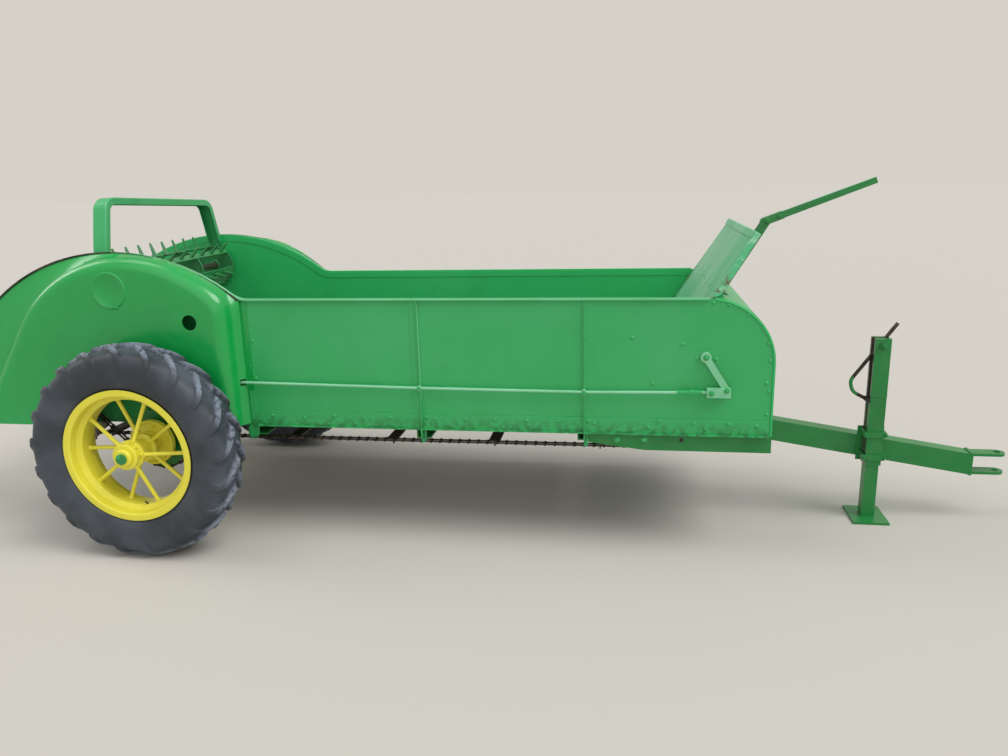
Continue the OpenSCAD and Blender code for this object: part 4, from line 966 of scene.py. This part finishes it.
# %% Shield fittings
DISC = (-122, 1100)
EMBOSS = [(-1, 79), (0.4, 78.5), (3.4, 74), (3.8, 71), (3.4, 68), (2.0, 65), (1.8, 0)]
CREASES = [((167, 848), (318, 948)), ((261, 759), (318, 849))]
LATCH_OUTLINE = [(-99, 1026), (-89, 1026), (-98, 1052), (-106, 1048)]
fittings = Shape()
turned(fittings, EMBOSS, on_shaft(DISC, SHIELD_FACE), steps=96)
for crease in CREASES:
    tube(fittings, [on_shaft(end, SHIELD_FACE) for end in crease], 0.7, 6)
carriage_bolt(fittings, (-94, SHIELD_FACE, 1028), (0, 1, 0), 8)
plate(fittings, LATCH_OUTLINE, SHIELD_FACE, SHIELD_FACE + 3)
block(fittings, SHIELD_FRONT - 4, SHIELD_FRONT, SIDE + 0.2, SHIELD_SEAT + 2, 520, 1036)
for z in (590, 760, 900, 1000):
    carriage_bolt(fittings, (SHIELD_FRONT + 16, SIDE, z), (0, 1, 0), 7)
block(fittings, SHIELD_FRONT, SHIELD_FRONT + 26, SIDE, SIDE + 2.5, 560, 1036)
# painted shadow: a thin dark tube along the gap under the rolled lip
lip_gap_shadow = arc(HUMP, HUMP_R - 2.5, HUMP_CORNER, 135, 60)
tube(fittings, [on_shaft(place, SHIELD_SEAT + 4) for place in lip_gap_shadow], (4.4, 3.6), 8, part=1)
make_pair("shield_fittings", fittings, [shield_enamel, chain_steel], "body_paint", bevel=0.6)

# %% [markdown]
# ## Floor boards
# Seven sawn boards lie side by side on the ledges. Modelled one by one with 3 mm gaps and eased edges,
# they catch light as real boards do, which a groove in a slab doesn't.

# %% Floor boards
BOARD_GAP, BOARD_THICK = 2.6, 22
boards = Shape()
width = 2 * INNER / BOARD_COUNT
random.seed(3)
for i in range(BOARD_COUNT):
    right, left = -INNER + i * width + BOARD_GAP / 2, -INNER + (i + 1) * width - BOARD_GAP / 2
    dip = random.uniform(0, 1.2)
    block(boards, APRON_REAR + 84, APRON_FRONT - 80, right, left, FLOOR - BOARD_THICK, FLOOR - dip)
make("floor_planks", boards, timber, "frame", "boards", ["floor_boards"], bevel=2.5)

# %% [markdown]
# ## Front sheet
# One sheet closes the front of the box and rolls back over its top corners, with a slot for the
# control lever. A grid of points follows the bend, one column at each side of the slot, and the cells
# inside the slot are left out.

# %% Front sheet
SLOT = (2334.8, 2399.8, LEVER_Y - 34, LEVER_Y + 34)


def front_sheet():
    """The bent sheet with the lever's slot."""
    start = math.degrees(math.acos((2331.8 - FRONT_ARC[0]) / FRONT_ARC_R))
    first, last = [math.degrees(math.acos((x - FRONT_ARC[0]) / (FRONT_ARC_R - 2))) for x in SLOT[:2]]
    angles = [start, *np.linspace(first, last, 5), *np.linspace(last - 4, 0, 14)]
    columns = [-SIDE + 0.2, SLOT[2], SLOT[3], SIDE - 0.2]
    points = []
    for radius in (FRONT_ARC_R, FRONT_ARC_R - 4):
        bend = [on_shaft(FRONT_ARC, 0) + radius * ray(angle) for angle in angles]
        foot = [np.array([FRONT_ARC[0] + radius, 0, z]) for z in (700, 600, 500.5)]
        points += [place + (0, y, 0) for place in bend + foot for y in columns]
    rows, count = len(angles) + 3, len(columns)
    back = rows * count
    keep = {(j, i) for j in range(rows - 1) for i in range(count - 1)} - {(j, 1) for j in range(1, 5)}
    faces = []
    for j, i in sorted(keep):
        ring = [j * count + i, j * count + i + 1, (j + 1) * count + i + 1, (j + 1) * count + i]
        faces += [ring, [back + corner for corner in ring[::-1]]]
        for a, b, step in zip(ring, ring[1:] + ring[:1], ((-1, 0), (0, 1), (1, 0), (0, -1))):
            if (j + step[0], i + step[1]) not in keep:
                faces.append([b, a, back + a, back + b])
    shape = Shape()
    shape.add(points, faces)
    return shape


make("front_sheet", front_sheet(), box_enamel, "frame", "body_paint", ["front_skin"])
print("slot in the front sheet:", SLOT)

# %% [markdown]
# ## Sloped endgate and guard
# Behind the front sheet an endgate slopes up from the floor, and a narrower guard carries it on above
# the box. Its side edges are folded forward to stiffen it and its top is wrapped by a cap strip. Loads
# have scoured its face, so its finish shows pale streaks along the slope. The fold is an arc of points
# in each row, so it is as round as a brake press leaves it.

# %% Endgate and guard
LEAN = math.radians(32.4)
GATE_FOOT = 2017
GATE_DIRECTION = np.array([math.sin(LEAN), 0, math.cos(LEAN)])
GATE_NORMAL = np.array([math.cos(LEAN), 0, -math.sin(LEAN)])
GUARD_LOW, GUARD_TOP, GUARD_HALF_LOW, GUARD_HALF_TOP = 1056, 1288, 485, 430
# heights between which the fold grows to its full depth
FOLD_START, FOLD_FULL = 1066, 1078
THICK, BEND, FOLD = 4, 8, 25


def gate_point(z, y=0.0, ahead=0.0):
    """A point of the endgate's face at that height, or ahead of it along its normal."""
    return np.array([GATE_FOOT + (z - FLOOR) * math.tan(LEAN), y, z]) + ahead * GATE_NORMAL


def guard_section(z):
    """The guard's outline at that height, as (y, depth) pairs."""
    half = np.interp(z, [GUARD_LOW, GUARD_TOP], [GUARD_HALF_LOW, GUARD_HALF_TOP])
    reach = np.interp(z, [GUARD_LOW, FOLD_START, FOLD_FULL], [BEND + 1, 19, FOLD])
    outer = arc((half - BEND, BEND), BEND, -90, 0, 4)
    inner = arc((half - BEND, BEND), BEND - THICK, 0, -90, 4)
    side = [*outer, (half, reach), (half - THICK, reach), *inner]
    return side + [(-y, depth) for y, depth in side[::-1]]


guard = Shape()
HEIGHTS = (GUARD_LOW, FOLD_START, FOLD_FULL, 1100, 1135, 1170, 1210, 1250, GUARD_TOP + 6)
loft(guard, [[gate_point(z, y, depth) for y, depth in guard_section(z)] for z in HEIGHTS])
# the cap strip as (depth, along the slope) pairs
CAP = [(-4, -24), (-4, 3), (2, 6), (14, 4), (14, -2), (3, -2), (-0.5, -3), (-0.5, -24)]
cap_ends = [1 - GUARD_HALF_TOP, GUARD_HALF_TOP - 1]
loft(guard, [[gate_point(GUARD_TOP, y, d) + GATE_DIRECTION * along for d, along in CAP] for y in cap_ends])
sheet = [(-489, 0), (489, 0), (489, THICK), (-489, THICK)]
loft(guard, [[gate_point(z, y, depth) for y, depth in sheet] for z in (600, GUARD_LOW)])
make("endgate_and_guard", guard, guard_enamel, "frame", "body_paint", ["front_panel"], bevel=0.8)

guard_bolts = Shape()
for y in (-427, -262, 4, 78, 300, 427):
    carriage_bolt(guard_bolts, gate_point(1069, y), -GATE_NORMAL, 7)
for z in (700, 860, 1000):
    for y in (-470, 470):
        carriage_bolt(guard_bolts, gate_point(z, y), -GATE_NORMAL, 7)
make("guard_bolts", guard_bolts, guard_enamel, "frame", "body_paint")

# %% [markdown]
# ## Rear arch
# The hoop that ties the two humps together over the beaters is a pressed strap of channel section, its
# flanges turned inward. Years of knocks have leaned it, so one corner stands 33 mm higher. One section
# is carried along a line with two round bends.

# %% Rear arch
ARCH_X, ARCH_R, ARCH_LEAN = -207, 73, 19
RIGHT_CORNER, LEFT_CORNER = (-362, 1396.5), (362, 1363.5)
CROWN_RISE = 88
crown = np.vstack([
    arc(RIGHT_CORNER, ARCH_R, 180 - ARCH_LEAN, CROWN_RISE, 12),
    arc(LEFT_CORNER, ARCH_R, CROWN_RISE, ARCH_LEAN, 12),
])
right_leg = bent([(-489, 1122), (-489, 1248), crown[0]], 60)[:-1]
left_leg = bent([crown[-1], (489, 1214), (489, 1122)], 60)[1:]
flat_line = np.vstack([right_leg, crown, left_leg])
# the right leg and its corner lean rearward
lean = np.interp(flat_line[:, 0], [-489, -420, 0, 420], [-8, -24, -10, 0])
lean[:2] = 0
sections = []
for y, z in flat_line:
    # the flanges are deeper above the box than where they are bolted to it
    deep = np.interp(z, [1206, 1226], [7, 28])
    half = [(0, 2), (28, 2), (32, -2), (32, -deep), (28.5, -deep), (28.5, -5), (26, -2), (0, -2)]
    sections.append([(a, -b) for a, b in half] + [(-a, -b) for a, b in half[::-1]])
arch = Shape()
carried(arch, sections, np.column_stack([ARCH_X + lean, flat_line]), (1, 0, 0))
for out in (1, -1):
    for x in (ARCH_X - 16, ARCH_X + 16):
        for z in (1146, 1206):
            carriage_bolt(arch, (x, out * SIDE, z), (0, out, 0), 8)
make("arch_strap", arch, arch_enamel, "frame", "body_paint", ["rear_arch"], bevel=0.8)

# %% [markdown]
# ## Apron chains and slats
# The apron is two steel detachable chains with T slats riveted between them. A detachable link is a
# small frame with a hook at one end. Laid link after link round the loop by length, 131 of them make a
# chain. Copies made by code keep it one mesh, so it rides as one piece.

# %% Links
LINK_PITCH = 41.4
BOX_FACES = [(3, 2, 1, 0), (4, 5, 6, 7), (0, 1, 5, 4), (1, 2, 6, 5), (2, 3, 7, 6), (3, 0, 4, 7)]


def chain_link(shape, at, up, pitch, width, height):
    """One open link: two side bars, a closed end and the hook that the next link turns on."""
    ahead, across = np.cross((0, 1, 0), up), np.array([0, 1, 0])
    half, bar = width / 2, height * 0.4
    for c0, c1 in ((-half, bar - half), (half - bar, half)):
        corners = [
            at + along * pitch * ahead + c * across + u * height * up
            for u in (-0.3, 0.3)
            for along, c in ((-0.42, c0), (0.5, c0), (0.5, c1), (-0.42, c1))
        ]
        shape.add(corners, BOX_FACES)
    for along, reach, radius in ((0.5, half, 0.36), (-0.42, half - 1, 0.66)):
        pin = at + along * pitch * ahead
        tube(shape, [pin - across * reach, pin + across * reach], height * radius, 8, start=up)


def loop_points(circles):
    """Places and outward directions of links round two circles, given as (x, z, radius), and their pitch."""
    (ax, az, ra), (bx, bz, rb) = circles
    lean = math.atan2(bz - az, bx - ax)
    spread = math.acos((ra - rb) / math.hypot(bx - ax, bz - az))
    line = []
    for x, z, radius, start, end in (
        (ax, az, ra, lean + spread, lean + 2 * math.pi - spread), (bx, bz, rb, lean - spread, lean + spread)
    ):
        turn = np.linspace(start, end, 40)
        out = np.column_stack([np.cos(turn), np.sin(turn)])
        line.append(np.hstack([radius * out + (x, z), out]))
    line = np.vstack([*line, line[0][:1]])
    run = np.r_[0, np.cumsum(np.hypot(*np.diff(line[:, :2], axis=0).T))]
    count = max(6, round(run[-1] / LINK_PITCH))
    at = np.arange(count) * run[-1] / count
    return np.column_stack([np.interp(at, run, column) for column in line.T]), run[-1] / count


def chain(shape, circles, y, width, height):
    """Links round two circles, in the plane at y. Gives their number."""
    places, pitch = loop_points(circles)
    for x, z, out_x, out_z in places:
        chain_link(shape, np.array([x, y, z]), unit((out_x, 0, out_z)), pitch, width, height)
    return len(places)


print("a link's pitch:", LINK_PITCH, "mm")

# %% [markdown]
# ## Slats round the loop
# The slats stand at even steps of the loop's length, so those at its ends turn with the chain round its
# sprockets. A function gives the place and the outward direction at any length, and each slat is a T
# section lofted across the box, riveted to both chains.

# %% Apron
SLATS, FIRST_SLAT, SLAT_END = 12, 1445, 389
RUN = APRON_FRONT - APRON_REAR
LENGTH = 2 * RUN + 2 * math.pi * APRON_R
SLAT_SECTION = [
    (-25, -5), (25, -5), (25, -1), (4, -0.5), (2.5, 1), (2.5, 22), (-2.5, 22), (-2.5, 1), (-4, -0.5),
    (-25, -1),
]
apron = Shape()
loop = [(APRON_REAR, APRON_Z, APRON_R), (APRON_FRONT, APRON_Z, APRON_R)]
for y in (-400, 400):
    count = chain(apron, loop, y, 30, 11)
print("links in one apron chain:", count)


def apron_at(s):
    """Place and outward angle at length s from the front end of the lower run, rearward."""
    half_turn = math.pi * APRON_R
    if s < RUN:
        x, angle = APRON_FRONT - s, -90
    elif s < RUN + half_turn:
        x, angle = APRON_REAR, -90 - (s - RUN) * 180 / half_turn
    elif s < 2 * RUN + half_turn:
        x, angle = APRON_REAR + s - RUN - half_turn, 90
    else:
        x, angle = APRON_FRONT, 90 - (s - 2 * RUN - half_turn) * 180 / half_turn
    return np.array([x, 0, APRON_Z]) + APRON_R * ray(angle), angle


for i in range(SLATS):
    at, angle = apron_at((APRON_FRONT - FIRST_SLAT + i * LENGTH / SLATS) % LENGTH)
    out = ray(angle)
    ahead = np.cross((0, 1, 0), out)
    loft(apron, [
        [at + (0, y, 0) + c * ahead + u * out for c, u in SLAT_SECTION] for y in (-SLAT_END, SLAT_END)
    ])
    for y in (-SLAT_END * 0.985, SLAT_END * 0.985):
        for c in (-14, 14):
            carriage_bolt(apron, at + (0, y, 0) + c * ahead - out * 1.5, out, 5)
make("apron_chain_and_slats", apron, chain_steel, "frame", "chain_steel", ["apron_chain"])

# %% [markdown]
# ## Drive chains
# Three more detachable chains drive the rotors. Each runs round two sprockets, so its line is two arcs
# and the straight tangents between them. The links straddle the sprocket's teeth.


# %% Drive chains
def pitch_circle(centre, teeth):
    """A sprocket's pitch circle, as (x, z, radius). A link's middle rides 3 mm outside it."""
    return *centre, LINK_PITCH / (2 * math.sin(math.pi / teeth)) + 3


# first sprocket's centre and teeth, second's, and the plane of the chain
DRIVES = [(AXLE, 20, MAIN, 8, -551.5), (MAIN, 10, UPPER, 8, 553), (MAIN, 10, SPREAD, 7, 520)]
drives = Shape()
for a, teeth_a, b, teeth_b, y in DRIVES:
    count = chain(drives, [pitch_circle(a, teeth_a), pitch_circle(b, teeth_b)], y, 23, 11)
    print("links round", teeth_a, "and", teeth_b, "teeth:", count)
make("drive_chain_loops", drives, chain_steel, "frame", "chain_steel", ["drive_chains"])

# %% [markdown]
# ## Beaters
# The beaters tear the load apart. Each is a reel: flat bars on discs, with flat teeth bolted through
# the bars, the rows staggered. Real teeth are forged fingers that narrow to the tip, so each is lofted
# from a wide foot to a narrow, rounded end.

# %% Beaters
BARS, TEETH = 6, 9
BAR_SECTION = [(-15, -8), (-15, 0), (15, 0), (15, -8), (11.5, -8), (10.5, -4), (-10.5, -4), (-11.5, -8)]
REEL_HUB = [(-14, 16.2), (-14, 27), (-10, 30), (10, 30), (14, 27), (14, 16.2)]
# share of a tooth's length, half width along the shaft, half thickness
TOOTH_LEVELS = [(-0.06, 13, 4), (0.1, 12, 4), (0.45, 9, 3.6), (0.85, 6, 3), (0.97, 4.5, 2.4), (1, 2.5, 1.2)]


def tooth(shape, foot, out, side, length):
    """A flat finger. foot is its middle on the bar."""
    rings = []
    for share, half, thick in TOOTH_LEVELS:
        corners = ((-half, -thick), (half, -thick), (half, thick), (-half, thick))
        rings.append([foot + out * length * share + (0, y, 0) + side * t for y, t in corners])
    loft(shape, rings)
    hex_bolt(shape, foot + side * 10, out, 4.5)


def reel(shaft, sweep, bar_r, turn):
    """Discs, bars and teeth of one beater. sweep is the radius at the teeth's tips."""
    shape = Shape()
    end = INNER - 22
    disc = [(-3, 16.2), (-3, bar_r - 10), (-6, bar_r - 8), (-6, bar_r - 3), (3, bar_r - 3), (3, 16.2)]
    for y in (-end, -end / 3, end / 3, end):
        turned(shape, rounded(disc, 1.5, 2), on_shaft(shaft, y), closed=True)
    for y in (-end, end):
        turned(shape, rounded(REEL_HUB, 1.5, 2), on_shaft(shaft, y), steps=32, closed=True)
    pitch = 2 * (end - 30) / TEETH
    for i in range(BARS):
        angle = i * 360 / BARS + turn
        out, side = ray(-angle), ray(90 - angle)
        ends = [on_shaft(shaft, y) + out * bar_r for y in (-end - 3, end + 3)]
        loft(shape, [[at + side * c + out * u for c, u in BAR_SECTION] for at in ends])
        for j in range(TEETH):
            y = -end + 43 + (j + (i % 2) / 2) * pitch
            tooth(shape, on_shaft(shaft, y) + out * bar_r, out, side, sweep - bar_r - 1.2)
    return shape


main_reel, upper_reel = reel(MAIN, 195, 140, 0), reel(UPPER, 170, 105, 12)
make("main_beater_reel", main_reel, frame_enamel, "main_rotor", "frame_paint", ["main_beater"], 0.7)
make("upper_beater_reel", upper_reel, beater_enamel, "upper_rotor", "frame_paint", ["upper_beater"], 0.7)

# %% [markdown]
# ## Spiral distributor
# Two screw ribbons of opposite hand throw the load outward on both sides. A ribbon is a flat strip
# wound on edge, so its section turns and slides along the shaft. 96 sections a turn make the edge run
# smooth. Arms of flat bar hold it on collars.

# %% Distributor
END_Y, GAP_Y, RIBBON_IN, RIBBON_OUT, RIBBON = INNER - 20, 12, 90, 204.5, 5
ARM = [(-12, -4), (12, -4), (12, 4), (-12, 4)]
COLLAR = [(-12, 16.2), (-12, 24), (-10, 26), (10, 26), (12, 24), (12, 16.2)]
spread = Shape()
rings = []
for share in np.linspace(0, 1, 97):
    y = GAP_Y + (END_Y - GAP_Y - RIBBON) * share
    out = ray(180 + 360 * share)
    ends = [(RIBBON_IN, y), (RIBBON_OUT, y), (RIBBON_OUT, y + RIBBON), (RIBBON_IN, y + RIBBON)]
    rings.append([on_shaft(SPREAD, v) + r * out for r, v in ends])
loft(spread, rings)
for share in (0.04, 0.27, 0.5, 0.73, 0.96):
    angle = 180 + 360 * share
    out, side = ray(angle), ray(angle + 90)
    centre = on_shaft(SPREAD, GAP_Y + (END_Y - GAP_Y) * share)
    lengths = (18, 60, RIBBON_IN + 45)
    loft(spread, [[centre + out * r + side * c + (0, y, 0) for c, y in ARM] for r in lengths])
    turned(spread, COLLAR, centre, steps=32, closed=True)
    for r in (RIBBON_IN + 14, RIBBON_IN + 34):
        hex_bolt(spread, centre + out * r - (0, 4, 0), (0, -1, 0), 6)
spread.join(spread.mirrored())
make("spiral_distributor", spread, frame_enamel, "spreader_rotor", "body_paint", ["spreader_blades"])

# %% [markdown]
# ## Control lever
# Two flat bars rise from the pivot shaft through the front sheet's slot to a clevis bolt, where the
# grip is hinged. The grip is a flat bar on edge with a round end, with a pale strip along its top that
# is a painted highlight.

# %% Control lever
def strap_outline(a, b):
    """Outline of a flat bar with round ends between two points."""
    turn = math.degrees(math.atan2(b[1] - a[1], b[0] - a[0]))
    ends = arc(a, STRAP_R, turn + 90, turn + 270, 10), arc(b, STRAP_R, turn - 90, turn + 90, 10)
    return np.vstack(ends)


STRAP_R, PIVOT = 15, (2307, 819)
KNEE = (gate_point(1060)[0] + 44, 1060)
JOINT = np.array([gate_point(1324)[0] + 38, 1324])
GRIP = JOINT + (385, 142)
along = unit(GRIP - JOINT)
across = np.array([-along[1], along[0]])
fork, tip = JOINT - 10 * along, GRIP + 13 * along
root = fork + 40 * along
lever = Shape()
for y in (LEVER_Y - 22, LEVER_Y + 14):
    plate(lever, strap_outline(PIVOT, KNEE), y, y + 8)
    plate(lever, strap_outline(KNEE, JOINT), y, y + 8)
plate(lever, strap_outline(fork, fork + 70 * along), LEVER_Y - 14, LEVER_Y + 14)
grip = [root - 14 * across, tip - 12 * across, tip + 12 * across, root + 14 * across]
plate(lever, grip, LEVER_Y - 5, LEVER_Y + 5)
# a pale strip along the grip's top edge: a painted highlight
grip_highlight_strip = [tip + 11 * across, tip + 12.6 * across, root + 14.6 * across, root + 12 * across]
plate(lever, grip_highlight_strip, LEVER_Y - 5.2, LEVER_Y + 5.2, part=1)
tube(lever, [on_shaft(PIVOT, y) for y in (-515, LEVER_Y + 40)], 12, 24)
for out in (-1, 1):
    hex_bolt(lever, on_shaft(JOINT, LEVER_Y + out * 22), (0, out, 0), 10)
    hex_bolt(lever, on_shaft(JOINT + 48 * along, LEVER_Y + out * 14), (0, out, 0), 7)
make("lever_and_grip", lever, [frame_enamel, grip_highlight_enamel], "frame", "body_paint", ["control_lever"], 1.2)

# %% [markdown]
# ## Feed rod fittings
# The feed rod runs along the box to the ratchet behind. Its yoke, guides and crank have cross pins
# with cotters, and the arm's shaft ends in a nut.

# %% Feed rod fittings
NUTS = [(2307, -515, 819), (2387, -533, 693), (2330, -533, 681), (230, -525, 607), (230, -521, 697)]
GUIDE_NUTS = [(1160, -526, 681), (1836, -526, 675)]
rod_fittings = Shape()
for nuts, radius in ((NUTS, 8), (GUIDE_NUTS, 6)):
    for at in nuts:
        hex_bolt(rod_fittings, at, (0, -1, 0), radius)
tube(rod_fittings, [(2200, -517, 680), (2296, -517, 681)], 8.5, 6)
tube(rod_fittings, [(2248, -517, 680.5), (2262, -517, 680.6)], 11, 6)
make("feed_rod_fittings", rod_fittings, box_enamel, "frame", "body_paint", bevel=0.5)

# %% [markdown]
# ## Jack
# The jack is a square tube with a screw inside, clamped beside the tongue. Its crank is one bent rod
# that swings up through the tube's open rear to a slanted arm. A rod could be straight pieces with
# balls at the corners, but a smith bends it, so the path's corners are rounded before the ring is
# carried along it.

# %% Jack crank
JACK_X, JACK_Y = 3068, -77
CRANK = np.array([(3128, JACK_Y, 878), (2955, JACK_Y, 625), (2968, JACK_Y, 577), (3031, JACK_Y, 543)])
ELBOW = 2996
crank = Shape()
tube(crank, bent(CRANK, 20), 7.6, 18)
top, arm = CRANK[0], unit(CRANK[0] - CRANK[1])
tube(crank, [top - 62 * arm, top - 60 * arm, top - 3 * arm, top], np.array([7.5, 8, 8, 6.5]), 18)
block(crank, 3025, 3034.7, JACK_Y - 28, JACK_Y + 28, 534, 552)
# the paint is left only round the elbow
middles = [np.mean([crank.points[i][0] for i in face]) for face in crank.faces]
crank.parts = [int(x < ELBOW) for x in middles]
make("jack_crank_rod", crank, [chain_steel, frame_enamel], "frame", "chain_steel", ["jack_crank"])

# %% [markdown]
# ## Bolts of the jack
# The screw's head is pinned near the top of the tube, and four bolts hold the clamp on the tongue.

# %% Jack fittings
jack = Shape()
hex_bolt(jack, (JACK_X, JACK_Y - 41, 785), (0, -1, 0), 11)
for z in (290, 394):
    for x in (JACK_X - 42, JACK_X + 42):
        hex_bolt(jack, (x, JACK_Y - 41, z), (0, -1, 0), 6)
make("jack_fittings", jack, frame_enamel, "frame", "body_paint", bevel=0.6)

# %% [markdown]
# ## Studio
# The object stands on a plain pale floor under the light of a thin overcast: a pale sky all round, and
# a row of soft suns where it is brightest, from the rear over the top to the front, with a broad one
# behind the camera. They give one soft shadow and a long highlight round the shields' shoulders. To the
# camera and in reflections the world has the floor's own lit colour, so no horizon shows and no paint
# mirrors a bright sky.

# %% Floor, world and sun
studio, tree = blank("studio_floor")
shader = add(tree, "BsdfPrincipled", {"Base Color": linear("#c3beb5"), "Roughness": 1.0})
add(tree, "OutputMaterial", {"Surface": shader.outputs[0]})
reach = 60
corners = [(-reach, -reach, 0), (reach, -reach, 0), (reach, reach, 0), (-reach, reach, 0)]
floor_mesh = bpy.data.meshes.new("studio_floor")
floor_mesh.from_pydata(corners, [], [(0, 1, 2, 3)])
floor_mesh.materials.append(studio)
floor = bpy.data.objects.new("studio_floor", floor_mesh)
bpy.context.scene.collection.objects.link(floor)
floor.location.z = cad_box[0].z - 0.0005

world = bpy.data.worlds.new("studio")
world.use_nodes = True
bpy.context.scene.world = world
tree = world.node_tree
tree.nodes.clear()
rays = add(tree, "LightPath").outputs
seen = add(tree, "Math", {0: rays["Is Camera Ray"], 1: rays["Is Glossy Ray"]}, operation="MAXIMUM").outputs[0]
seen = add(tree, "Math", {0: seen, 1: rays["Is Transmission Ray"]}, operation="MAXIMUM").outputs[0]
sky = add(tree, "Background", {"Color": linear("#e6e9ec"), "Strength": 0.47})
backdrop = add(tree, "Background", {"Color": linear("#d6d1c9"), "Strength": 1.0})
choice = add(tree, "MixShader", {0: seen, 1: sky.outputs[0], 2: backdrop.outputs[0]})
add(tree, "OutputWorld", {"Surface": choice.outputs[0]})

# direction towards each part of the bright sky, its strength and its width in degrees
BRIGHT_SKY = [
    ((-0.93, 0.16, 0.4), 0.27, 20), ((-0.77, 0.07, 0.63), 0.34, 22), ((-0.36, -0.07, 0.93), 0.42, 26),
    ((0.6, -0.2, 0.77), 1.9, 37), ((0.1, -0.85, 0.55), 0.75, 80),
]
for way, strength, width in BRIGHT_SKY:
    part = bpy.data.objects.new("bright_sky", bpy.data.lights.new("bright_sky", "SUN"))
    bpy.context.scene.collection.objects.link(part)
    part.data.energy, part.data.angle = strength, math.radians(width)
    part.rotation_euler = (-Vector(way)).to_track_quat("-Z", "Y").to_euler()
bpy.context.scene.view_settings.view_transform = "Standard"
